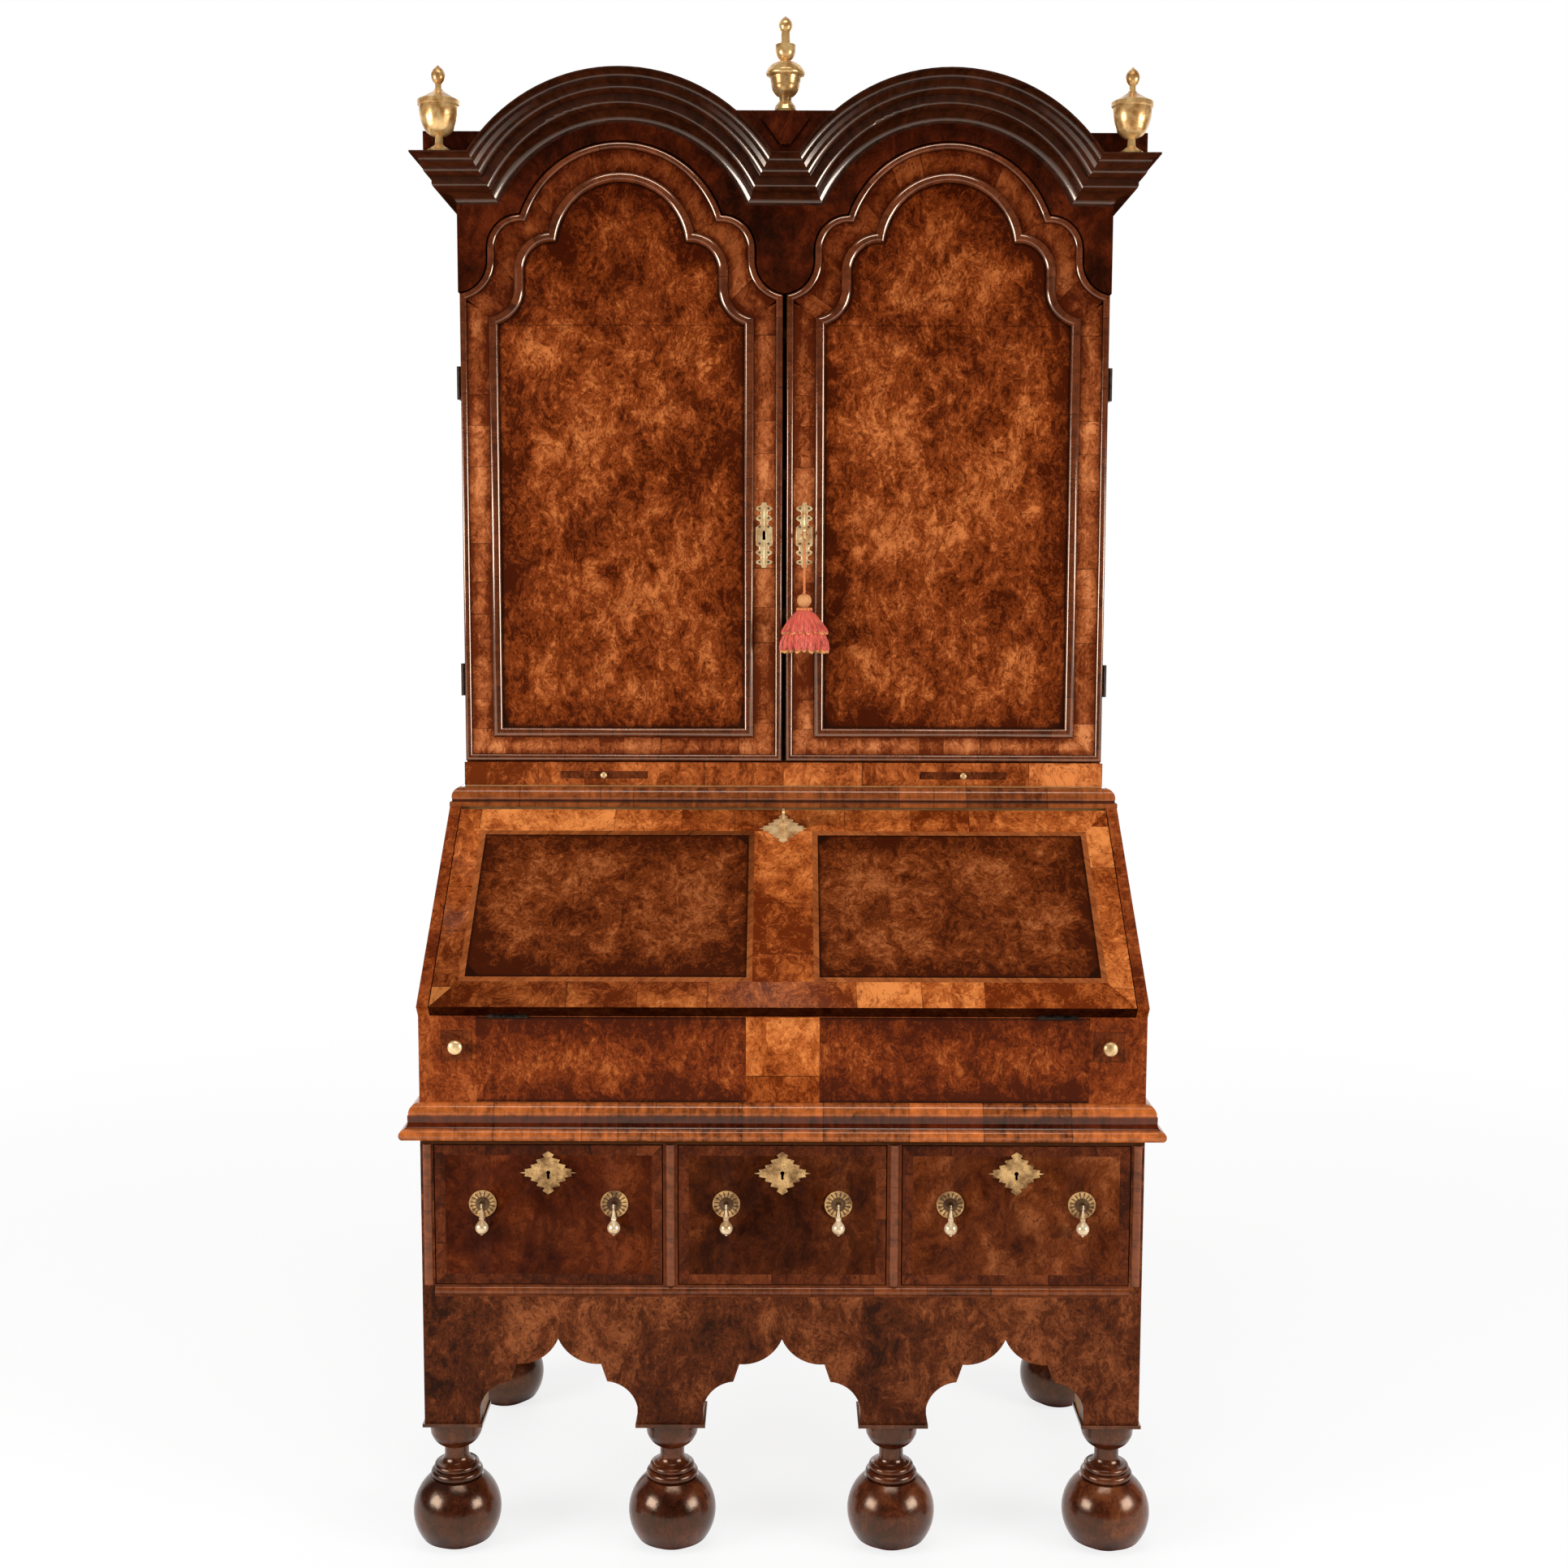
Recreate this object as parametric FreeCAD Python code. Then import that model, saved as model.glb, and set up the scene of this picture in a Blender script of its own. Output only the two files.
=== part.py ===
import FreeCAD, Part
import os
from math import asin, cos, pi, radians, sin, sqrt, tan

V = FreeCAD.Vector

# Overall sizes: +X to the right, +Y to the back, +Z up, origin on the floor under the middle of the box
stand_width = 1000.0
stand_depth = 572.0
cut_overrun = 20.0

# Feet, collars and leg blocks
foot_height = 184.0
foot_radius = 62.0
foot_front_inset = 41.0
foot_rear_inset = 62.0
foot_side_inset = 37.0
foot_tenon_radius = 12.0
foot_tenon_length = 40.0
tenon_clearance = 0.1
collar_height = 5.0
collar_overhang = 2.8
leg_block_size = 50.0

# Stand: aprons, drawer openings and boards
apron_thickness = 22.0
apron_height = 184.0
corner_leg_width = 78.0
rear_leg_depth = 98.0
mid_leg_width = 92.0
arch_rise = 123.0
stand_side_thickness = 18.0
stand_back_thickness = 18.0
rail_height = 17.0
rail_depth = 40.0
drawer_opening_height = 200.0
centre_opening_width = 290.0
partition_width = 20.0
runner_width = 30.0
stand_top_thickness = 20.0
bead_width = 12.0
bead_rise = 4.0

# Stand moulding
stand_moulding_height = 49.0
stand_moulding_rise = 11.0
stand_moulding_projection = 25.0

# Drawers
drawer_gap = 1.5
drawer_seat_gap = 0.3
drawer_front_thickness = 20.0
drawer_side_thickness = 10.0
drawer_bottom_thickness = 8.0
drawer_back_gap = 12.0
drawer_side_drop = 30.0

# Drawer brasses: escutcheon, handle plate, lug and pear drop
escutcheon_width = 78.0
escutcheon_height = 61.0
escutcheon_thickness = 1.4
escutcheon_drop = 40.0
keyhole_radius = 3.0
keyhole_slot_width = 3.4
keyhole_slot_length = 9.0
handle_drop = 84.0
handle_inset = 67.5
plate_radius = 19.0
plate_thickness = 2.0
plate_boss_radius = 8.0
plate_boss_rise = 1.5
lug_width = 7.0
lug_height = 6.0
lug_slot = 3.2
pin_reach = 12.0
lug_nose = 3.0
drop_pin_radius = 1.2
running_clearance = 0.06
drop_eye_radius = 3.2
drop_eye_thickness = 2.4
drop_length = 41.0
drop_radius = 9.0

# Bureau
bureau_side_thickness = 16.0
bureau_front_thickness = 20.0
bureau_front_height = 160.0
bureau_board_thickness = 18.0
bureau_back_thickness = 12.0
bureau_height = 418.0

# Fall and its strap hinges
fall_slope = 41.0
fall_thickness = 20.0
fall_head_gap = 3.0
fall_back_gap = 2.0
fall_side_gap = 1.5
fall_end_gap = 0.4
fall_hinge_inset = 107.0
fall_hinge_length = 56.0
fall_leaf_width = 40.0
fall_escutcheon_width = 72.0
fall_escutcheon_height = 56.0
fall_key_drop = 38.0

# Hinge metal shared by the fall and the doors
leaf_thickness = 2.4
knuckle_radius = 4.0
hinge_pin_radius = 2.0
hinge_clearance = 0.3

# Keys
key_shank_reach = 20.0
key_depth = 12.0
key_collar_radius = 5.0
key_collar_length = 3.0
key_collar_setback = 10.0
key_bow_radius = 11.0
key_bow_width = 4.0
key_bow_thickness = 3.6

# Lopers
loper_size = 42.0
loper_length = 420.0
loper_side_inset = 15.0
loper_clearance = 0.4
loper_wall = 18.0
loper_knob_radius = 10.0
loper_knob_reach = 18.0

# Pigeonholes behind the fall
pigeonhole_recess = 10.0
pigeonhole_bays = 6
pigeonhole_board = 8.0
pigeonhole_shelf_height = 120.0

# Upper case
upper_lip = 12.0
upper_side_inset = 19.0
upper_side_thickness = 18.0
upper_back_thickness = 12.0
upper_floor_thickness = 18.0
side_top_drop = 24.0
roof_strip_thickness = 13.0
shelf_thickness = 16.0
shelf_setback = 40.0
shelf_shares = (0.236, 0.4675, 0.699)

# Waist moulding round the foot of the upper case
waist_height = 31.0
waist_projection = 20.0

# Candle frieze and slides
frieze_height = 35.0
slide_width = 131.0
slide_height = 10.6
slide_back_room = 70.0
slide_rise = 10.4
slide_shift = 30.0
slide_clearance = 0.3
slide_guide_width = 24.0
slide_guide_spare = 37.0
slide_knob_radius = 5.0
slide_knob_reach = 10.0

# Doors: outline heights are above the door's foot, offsets from its centre line
door_thickness = 22.0
door_floor_gap = 2.0
door_meeting_gap = 6.0
door_shoulder_height = 689.0
door_ear_inset = 41.5
door_ear_radius = 49.0
door_ear_straight = 16.6
door_arch_rise = 104.0
door_arch_gap = 2.5
door_back_gap = 0.6
door_bead_width = 10.0
door_bead_rise = 4.0
field_stile_width = 49.5
field_foot_height = 43.0
field_shoulder_drop = 39.0
field_ear_inset = 38.0
field_ear_straight = 24.2
field_arch_drop = 50.0
field_moulding_width = 14.0
field_moulding_rise = 6.0
door_hinge_length = 48.0
door_leaf_width = 17.0
side_leaf_width = 44.0
door_hinge_shares = (0.177, 0.813)
door_escutcheon_width = 25.0
door_escutcheon_height = 97.0
door_lock_offset = 30.0
door_key_rise = 338.0
door_lock_width = 48.0
door_lock_height = 80.0
door_lock_depth = 11.0

# Cord and tassel hung from the shank of the door key
cord_diameter = 3.6
cord_length = 82.0
cord_tie_reach = 32.0
cord_loop_radius = 5.2
cord_loop_width = 3.6
tassel_length = 84.0
tassel_half_width = 31.0
tassel_depth_share = 0.72

# Cornice, domes and spandrel
cornice_height = 64.0
cornice_projection = 58.0
cornice_gap = 14.0
dome_drop = 171.0
dome_shift = 3.0
dome_edge_inset = 39.5
vault_inset = 12.0
vault_thickness = 12.0
vault_staves = 8
strip_lap = 6.7

# Plinth blocks and finials
centre_plinth_width = 152.0
centre_plinth_height = 62.0
centre_plinth_front = 36.0
centre_plinth_back = 60.0
plinth_panel_top = 68.0
plinth_panel_foot = 14.0
plinth_panel_height = 36.0
plinth_panel_drop = 12.0
plinth_panel_rise = 3.0
corner_plinth_inset = 11.0
corner_plinth_width = 88.0
corner_plinth_height = 39.0
corner_plinth_front = 6.0
corner_plinth_back = 70.0
dome_clearance = 0.5
centre_finial_height = 144.0
centre_finial_radius = 28.7
centre_finial_setback = 8.0
side_finial_height = 124.0
side_finial_radius = 30.0
side_finial_inset = 40.0
side_finial_reach = 35.0

# Outlines as shares: one pair is the end of a line, two pairs are the middle and end of an arc
foot_pad_share = 0.55
foot_ball_share = 0.25
foot_ball_end_shares = (0.049, 0.518)
foot_neck_shares = (
    ((0.555, 0.523),),
    ((0.59, 0.55), (0.545, 0.578)),
    ((0.49, 0.585),),
    ((0.51, 0.608), (0.42, 0.632)),
    ((0.31, 0.66), (0.275, 0.70)),
    ((0.275, 0.767),),
    ((0.44, 0.80), (0.58, 0.875)),
    ((0.6, 0.94),),
    ((0.6, 1.0),),
)
arch_half_shares = (
    ((0.17, 0.197), (0.54, 0.295)),
    ((0.617, 0.50),),
    ((0.88, 0.607), (1.0, 0.803)),
    ((1.0, 1.0),),
)
stand_moulding_shares = (
    ((0.86, 0.0),),
    ((1.0, 0.14), (0.86, 0.28)),
    ((0.64, 0.36), (0.57, 0.54)),
    ((0.57, 0.67),),
    ((0.52, 0.69),),
    ((0.43, 0.88), (0.13, 0.98)),
    ((0.0, 0.99),),
)
waist_moulding_shares = (
    ((1.0, 0.0),),
    ((1.0, 0.22),),
    ((0.84, 0.27),),
    ((0.84, 0.35),),
    ((0.72, 0.76), (0.18, 0.94)),
    ((0.0, 0.94),),
)
cornice_shares = (
    ((0.06, 0.14), (0.2, 0.235)),
    ((0.345, 0.253),),
    ((0.48, 0.285), (0.53, 0.375)),
    ((0.53, 0.52),),
    ((0.66, 0.57), (0.715, 0.70)),
    ((0.785, 0.78),),
    ((0.84, 0.91), (1.0, 0.96)),
    ((1.0, 1.0),),
    ((0.0, 1.0),),
)
centre_finial_shares = (
    ((0.56, 0.0),),
    ((0.56, 0.075),),
    ((0.50, 0.115),),
    ((0.31, 0.165),),
    ((0.33, 0.20),),
    ((0.60, 0.245), (0.72, 0.32)),
    ((0.80, 0.395),),
    ((0.95, 0.405),),
    ((1.0, 0.43), (0.96, 0.455)),
    ((0.72, 0.515), (0.28, 0.545)),
    ((0.25, 0.56),),
    ((0.42, 0.60), (0.50, 0.665)),
    ((0.50, 0.715),),
    ((0.23, 0.725),),
    ((0.21, 0.845),),
    ((0.27, 0.86),),
    ((0.345, 0.905), (0.22, 0.965)),
    ((0.0, 1.0),),
)
side_finial_shares = (
    ((0.545, 0.0),),
    ((0.545, 0.04),),
    ((0.2, 0.10),),
    ((0.18, 0.19),),
    ((0.52, 0.225), (0.74, 0.30)),
    ((0.89, 0.41), (0.93, 0.53)),
    ((1.0, 0.545),),
    ((1.0, 0.595),),
    ((0.60, 0.65), (0.26, 0.70)),
    ((0.15, 0.735),),
    ((0.15, 0.785),),
    ((0.21, 0.80),),
    ((0.33, 0.885), (0.24, 0.945)),
    ((0.0, 1.0),),
)
drop_neck_shares = (
    ((0.13, 0.08),),
    ((0.28, 0.36),),
    ((0.42, 0.40),),
    ((0.42, 0.45),),
    ((0.32, 0.48),),
)
drop_ball_share = 0.745
drop_ball_end_shares = (0.62, 0.94)
drop_tip_shares = (
    ((0.24, 0.965),),
    ((0.18, 1.0),),
    ((0.0, 1.0),),
)
knob_profile_shares = (
    ((0.55, 0.0),),
    ((0.42, 0.35),),
    ((0.98, 0.54), (0.86, 0.82)),
    ((0.62, 0.96), (0.25, 1.0)),
    ((0.0, 1.0),),
)
tassel_profile_shares = (
    ((0.10, 0.0),),
    ((0.36, 0.10), (0.16, 0.20)),
    ((0.34, 0.26),),
    ((0.62, 0.40), (0.76, 0.62)),
    ((0.88, 0.66),),
    ((0.97, 0.80), (1.0, 0.97)),
    ((0.95, 1.0),),
    ((0.0, 1.0),),
)
escutcheon_half_shares = (
    (0.2, 0.16),
    (0.13, 0.30),
    (0.42, 0.40),
    (0.36, 0.56),
    (0.62, 0.64),
    (0.58, 0.78),
    (0.84, 0.84),
    (0.80, 0.95),
)
door_escutcheon_shares = (
    (0.30, 0.08),
    (0.95, 0.15),
    (0.45, 0.22),
    (0.60, 0.30),
    (1.0, 0.36),
    (1.0, 0.66),
    (0.60, 0.72),
    (0.45, 0.78),
    (0.95, 0.86),
    (0.30, 0.92),
)

# Heights and planes worked out from the sizes above
stand_half = stand_width / 2
front_y = (stand_moulding_projection - stand_depth) / 2
back_y = front_y + stand_depth
leg_foot_z = foot_height + collar_height
apron_top_z = leg_foot_z + apron_height
opening_foot_z = apron_top_z + rail_height
stand_top_z = opening_foot_z + drawer_opening_height
bureau_foot_z = stand_top_z + stand_top_thickness
bureau_top_z = bureau_foot_z + bureau_height
hinge_z = bureau_foot_z + bureau_front_height
bureau_inner_half = stand_half - bureau_side_thickness
fall_rise = bureau_top_z - fall_head_gap - hinge_z - fall_thickness * cos(radians(fall_slope))
fall_length = fall_rise / sin(radians(fall_slope))
fall_hinge_x = bureau_inner_half - fall_hinge_inset
bureau_top_y = front_y + fall_length * cos(radians(fall_slope)) + fall_back_gap
loper_x = bureau_inner_half - loper_side_inset - loper_size / 2
upper_y = bureau_top_y + upper_lip
upper_half = stand_half - upper_side_inset
upper_inner_half = upper_half - upper_side_thickness
case_y = upper_y + door_thickness + door_back_gap
frieze_z = bureau_top_z + waist_height
deck_z = frieze_z + frieze_height
door_foot_z = deck_z + door_floor_gap
door_width = upper_half - leaf_thickness - door_meeting_gap / 2
door_x = (door_width + door_meeting_gap) / 2
slide_x = door_x + slide_shift
slide_length = back_y - upper_back_thickness - slide_back_room - upper_y


def ear_cove_rise(half, ear):
    """How far a shaped outline's cove climbs from the shoulder to the ear's straight side."""
    over = max(ear + door_ear_radius - half, 0)
    return sqrt(door_ear_radius ** 2 - over ** 2)


# Shaped outlines of the doors and their fields: heights above the door's foot, offsets from its middle
door_half = door_width / 2
door_ear = door_half - door_ear_inset
door_cove_height = door_shoulder_height + ear_cove_rise(door_half, door_ear)
door_cusp_height = door_cove_height + door_ear_straight + door_ear_radius
door_top_height = door_cusp_height + door_arch_rise
field_half = door_half - field_stile_width
field_ear = field_half - field_ear_inset
field_shoulder_height = door_shoulder_height - field_shoulder_drop
field_cove_height = field_shoulder_height + ear_cove_rise(field_half, field_ear)
field_cusp_height = field_cove_height + field_ear_straight + door_ear_radius
field_top_height = door_top_height - field_arch_drop

# Domes, cornice and roof above the doors
dome_offset = door_x - dome_shift
dome_z = door_foot_z + door_top_height - dome_drop
dome_inner_radius = door_half - dome_edge_inset
dome_outer_radius = dome_inner_radius + cornice_height
cornice_z = door_foot_z + door_cusp_height + cornice_gap
cornice_top_z = cornice_z + cornice_height
cornice_half = upper_half + cornice_projection
side_top_z = cornice_top_z - side_top_drop
roof_z = side_top_z + roof_strip_thickness
vault_radius = dome_outer_radius - vault_inset
vault_spread = sqrt(vault_radius ** 2 - (roof_z - dome_z) ** 2)
leg_depth = apron_thickness + leg_block_size
inner_half = stand_half - stand_side_thickness
bay_width = (stand_width - 2 * corner_leg_width - 2 * mid_leg_width) / 3
mid_leg_x = (bay_width + mid_leg_width) / 2
partition_x = (centre_opening_width + partition_width) / 2


def block(low, high):
    """A rectangular board between two opposite corners."""
    size = V(*high) - V(*low)
    return Part.makeBox(size.x, size.y, size.z, V(*low))


def both_sides(shape):
    """The shape and its mirror image across the middle plane X = 0."""
    return [shape, shape.mirror(V(0, 0, 0), V(1, 0, 0))]


def path_edges(place, start, steps):
    """Edges through the steps of an outline, closed back to its start; place turns a pair into a point."""
    edges = []
    here = start
    for step in steps:
        if len(step) == 1:
            edges.append(Part.makeLine(place(here), place(step[0])))
        else:
            edges.append(Part.Arc(place(here), place(step[0]), place(step[1])).toShape())
        here = step[-1]
    if place(here).distanceToPoint(place(start)) > 0:
        edges.append(Part.makeLine(place(here), place(start)))
    return edges


def filled(edges):
    """The flat face inside a closed ring of edges."""
    return Part.Face(Part.Wire(edges))


def lines(points):
    """Outline steps for a plain polygon after its first point."""
    return [(point,) for point in points]


def upright_plate(points, y_low, y_high):
    """A polygon drawn in X and Z, given a thickness along Y."""
    edges = path_edges(lambda p: V(p[0], y_low, p[1]), points[0], lines(points[1:]))
    return filled(edges).extrude(V(0, y_high - y_low, 0))


def side_plate(points, x_low, x_high):
    """A polygon drawn in Y and Z, given a thickness along X."""
    edges = path_edges(lambda p: V(x_low, p[0], p[1]), points[0], lines(points[1:]))
    return filled(edges).extrude(V(x_high - x_low, 0, 0))


def plan_plate(points, z_low, z_high):
    """A polygon drawn in X and Y, given a height along Z."""
    edges = path_edges(lambda p: V(p[0], p[1], z_low), points[0], lines(points[1:]))
    return filled(edges).extrude(V(0, 0, z_high - z_low))


def scaled_steps(shares, across, along):
    """Outline steps from shares of a width or radius and of a height."""
    return [tuple((p * across, h * along) for p, h in step) for step in shares]


def ball_steps(radius, centre_z, start_z, end_z):
    """Profile steps to a ball centred on the axis and round it between two heights."""
    start = (sqrt(radius ** 2 - (start_z - centre_z) ** 2), start_z)
    end = (sqrt(radius ** 2 - (end_z - centre_z) ** 2), end_z)
    return [(start,), ((radius, centre_z), end)]


def turned(steps):
    """A piece turned about Z on the origin, from the steps of its profile in radius and height."""
    edges = path_edges(lambda p: V(p[0], 0, p[1]), (0, 0), steps)
    return filled(edges).revolve(V(0, 0, 0), V(0, 0, 1), 360)


def moved(shape, x, y, z):
    """A copy of the shape carried to a place."""
    copy = shape.copy()
    copy.translate(V(x, y, z))
    return copy


def along_y(shape):
    """A piece turned about Z, laid so that its axis points to the front."""
    copy = shape.copy()
    copy.rotate(V(0, 0, 0), V(1, 0, 0), 90)
    return copy


# Feet with tenons, collars and leg blocks
def legs():
    """Each foot's centre with its leg's sides in X and in Y: four legs at the front, two at the rear."""
    corner = (stand_half - corner_leg_width, stand_half)
    middle = (mid_leg_x - mid_leg_width / 2, mid_leg_x + mid_leg_width / 2)
    front = (front_y, front_y + leg_depth)
    rear = (back_y - rear_leg_depth, back_y)
    corner_x = stand_half - foot_side_inset
    front_foot = front_y + foot_front_inset
    rear_foot = back_y - foot_rear_inset
    right = (
        (corner_x, front_foot, corner, front),
        (mid_leg_x, front_foot, middle, front),
        (corner_x, rear_foot, corner, rear),
    )
    left = [(-x, y, (-span[1], -span[0]), depth) for x, y, span, depth in right]
    return list(right) + left


def tenon_hole(x, y):
    """The round hole for a foot's tenon, through the collar and into the leg block."""
    length = collar_height + foot_tenon_length
    return Part.makeCylinder(foot_tenon_radius + tenon_clearance, length, V(x, y, foot_height))


def make_feet():
    """Turned feet: a ball on a flat pad, rings, a neck and a tenon, all one piece."""
    ends = [share * foot_height for share in foot_ball_end_shares]
    ball = ball_steps(foot_radius, foot_ball_share * foot_height, *ends)
    pad = (foot_pad_share * foot_radius, 0)
    tenon_z = leg_foot_z + foot_tenon_length
    peg = lines(((foot_tenon_radius, foot_height), (foot_tenon_radius, tenon_z), (0, tenon_z)))
    steps = [(pad,)] + ball + scaled_steps(foot_neck_shares, foot_radius, foot_height) + peg
    form = turned(steps)
    return [moved(form, x, y, 0) for x, y, span, depth in legs()]


def make_collars():
    """Thin collars between the feet and the legs, standing a little proud all round but at the back."""
    collars = []
    for x, y, span, depth in legs():
        low = (span[0] - collar_overhang, depth[0] - collar_overhang, foot_height)
        high = (span[1] + collar_overhang, min(depth[1] + collar_overhang, back_y), leg_foot_z)
        collars.append(block(low, high).cut(tenon_hole(x, y)))
    return collars


def make_leg_blocks():
    """Blocks glued behind the apron and the sides, bored for the foot tenons."""
    blocks = []
    for x, y, span, depth in legs():
        low = (max(span[0], -inner_half), max(depth[0], front_y + apron_thickness), leg_foot_z)
        high = (min(span[1], inner_half), depth[1], apron_top_z)
        blocks.append(block(low, high).cut(tenon_hole(x, y)))
    return blocks


# Aprons with their ogee arches
def arch_cutter(place, centre, half_width):
    """The face of one ogee arch, drawn from its apex down each leg in a plane set by place."""
    apex_z = leg_foot_z + arch_rise
    foot_z = leg_foot_z - cut_overrun

    def spot(side, pair):
        return (centre + side * pair[0] * half_width, apex_z - pair[1] * arch_rise)

    right = [tuple(spot(1, pair) for pair in step) for step in arch_half_shares]
    base = [((centre + half_width, foot_z),), ((centre - half_width, foot_z),)]
    left = []
    ends = [(0, 0)] + [step[-1] for step in arch_half_shares]
    for index in range(len(arch_half_shares) - 1, -1, -1):
        step = arch_half_shares[index]
        middles = [spot(-1, pair) for pair in step[:-1]]
        left.append(tuple(middles + [spot(-1, ends[index])]))
    start_left = [(spot(-1, ends[-1]),)]
    return filled(path_edges(place, (centre, apex_z), right + base + start_left + left))


def make_apron():
    """The front apron board with three arches between its four legs."""
    y_low = front_y - cut_overrun
    depth = apron_thickness + 2 * cut_overrun
    board = block((-stand_half, front_y, leg_foot_z), (stand_half, front_y + apron_thickness, apron_top_z))
    for index in (-1, 0, 1):
        centre = index * (bay_width + mid_leg_width)
        face = arch_cutter(lambda p: V(p[0], y_low, p[1]), centre, bay_width / 2)
        board = board.cut(face.extrude(V(0, depth, 0)))
    return board


def make_stand_sides():
    """Side boards: an arch below, the drawer opening's outer stile at the front edge."""
    step_y = front_y + apron_thickness
    outline = (
        (front_y, apron_top_z),
        (front_y, stand_top_z),
        (back_y, stand_top_z),
        (back_y, leg_foot_z),
        (step_y, leg_foot_z),
        (step_y, apron_top_z),
    )
    board = side_plate(outline, inner_half, stand_half)
    arch_low = front_y + corner_leg_width
    arch_high = back_y - rear_leg_depth
    x_low = inner_half - cut_overrun
    place = lambda p: V(x_low, p[0], p[1])
    face = arch_cutter(place, (arch_low + arch_high) / 2, (arch_high - arch_low) / 2)
    board = board.cut(face.extrude(V(stand_side_thickness + 2 * cut_overrun, 0, 0)))
    return both_sides(board)


# Drawer openings
def openings():
    """Each drawer's name with the left and right of its opening."""
    inner = centre_opening_width / 2
    outer = inner + partition_width
    return (
        ("left", -inner_half, -outer),
        ("centre", -inner, inner),
        ("right", outer, inner_half),
    )


def make_drawer_frame():
    """The rail under the drawers and the two partitions between them."""
    rail = block((-inner_half, front_y, apron_top_z), (inner_half, front_y + rail_depth, opening_foot_z))
    low = (partition_x - partition_width / 2, front_y, opening_foot_z)
    high = (partition_x + partition_width / 2, back_y - stand_back_thickness, stand_top_z)
    return [rail] + both_sides(block(low, high))


def make_stand_boards():
    """The back board, the top board and a pair of runners under each drawer."""
    inner_back = back_y - stand_back_thickness
    boards = [
        block((-inner_half, inner_back, apron_top_z), (inner_half, back_y, stand_top_z)),
        block((-stand_half, front_y, stand_top_z), (stand_half, back_y, bureau_foot_z)),
    ]
    for name, left, right in openings():
        for x in (left, right - runner_width):
            low = (x, front_y + rail_depth, apron_top_z)
            boards.append(block(low, (x + runner_width, inner_back, opening_foot_z)))
    return boards


def bead_section(place):
    """The low half-round section of a bead: a flat back and one arc."""
    half = bead_width / 2
    return filled(path_edges(place, (-half, 0), [((0, bead_rise), (half, 0))]))


def make_drawer_beads():
    """Half-round beads on the stiles, partitions and rail round the drawers."""
    rail_z = (apron_top_z + opening_foot_z) / 2
    stile_x = (inner_half + stand_half) / 2
    beads = []
    for x in (-stile_x, -partition_x, partition_x, stile_x):
        face = bead_section(lambda p: V(x + p[0], front_y - p[1], opening_foot_z))
        beads.append(face.extrude(V(0, 0, drawer_opening_height)))
    face = bead_section(lambda p: V(-inner_half, front_y - p[1], rail_z + p[0]))
    beads.append(face.extrude(V(2 * inner_half, 0, 0)))
    return beads


# Mouldings that run round three sides
def front_run(steps, half, face_y, foot_z, reach):
    """A moulding along the front face, mitred at both ends."""
    length = half + reach
    face = filled(path_edges(lambda p: V(-length, face_y - p[0], foot_z + p[1]), (0, 0), steps))
    corners = ((-half, face_y), (half, face_y), (length, face_y - reach), (-length, face_y - reach))
    room = plan_plate(corners, foot_z - cut_overrun, foot_z + reach + stand_width)
    return face.extrude(V(2 * length, 0, 0)).common(room)


def side_run(steps, half, face_y, foot_z, reach):
    """A moulding along the right side, mitred at the front and square at the back."""
    face = filled(path_edges(lambda p: V(half + p[0], face_y - reach, foot_z + p[1]), (0, 0), steps))
    corners = ((half, face_y), (half + reach, face_y - reach), (half + reach, back_y), (half, back_y))
    room = plan_plate(corners, foot_z - cut_overrun, foot_z + reach + stand_width)
    return face.extrude(V(0, back_y - face_y + reach, 0)).common(room)


def make_stand_moulding():
    """The broad moulding between stand and bureau."""
    steps = scaled_steps(stand_moulding_shares, stand_moulding_projection, stand_moulding_height)
    foot_z = stand_top_z + stand_moulding_rise
    place = (stand_half, front_y, foot_z, stand_moulding_projection)
    return [front_run(steps, *place)] + both_sides(side_run(steps, *place))


def make_waist_moulding():
    """The small moulding round the foot of the upper case."""
    steps = scaled_steps(waist_moulding_shares, waist_projection, waist_height)
    place = (upper_half, upper_y, bureau_top_z, waist_projection)
    return [front_run(steps, *place)] + both_sides(side_run(steps, *place))


# Drawers and their brasses
def keyhole(x, z, y_low, y_high):
    """A keyhole along Y: a round hole with a slot below it."""
    depth = y_high - y_low
    hole = Part.makeCylinder(keyhole_radius, depth, V(x, y_low, z), V(0, 1, 0))
    half = keyhole_slot_width / 2
    slot = block((x - half, y_low, z - keyhole_slot_length), (x + half, y_high, z))
    return hole.fuse(slot)


def diamond(width, height):
    """The corners of a diamond escutcheon with a stepped edge, round its own centre."""
    quarter = [(0, 1)] + [(across, 1 - down) for across, down in escutcheon_half_shares] + [(1, 0)]
    lower_right = [(x, -z) for x, z in reversed(quarter[:-1])]
    lower_left = [(-x, -z) for x, z in quarter[1:]]
    upper_left = [(-x, z) for x, z in reversed(quarter[1:-1])]
    ring = quarter + lower_right + lower_left + upper_left
    return [(x * width / 2, z * height / 2) for x, z in ring]


def handle_places(left, right):
    """The middles of the two handle plates on one drawer front."""
    return [left + handle_inset, right - handle_inset]


def escutcheon_z():
    """The height of the keyholes in the drawers."""
    return stand_top_z - escutcheon_drop


def handle_z():
    """The height of the handle plates and of the pins that the drops swing on."""
    return stand_top_z - handle_drop


def make_drawer_front(left, right):
    """A drawer front with a gap all round and a keyhole through it."""
    low = (left + drawer_gap, front_y, opening_foot_z + drawer_gap)
    high = (right - drawer_gap, front_y + drawer_front_thickness, stand_top_z - drawer_gap)
    y_high = front_y + drawer_front_thickness + cut_overrun
    hole = keyhole((left + right) / 2, escutcheon_z(), front_y - cut_overrun, y_high)
    return block(low, high).cut(hole)


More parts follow.
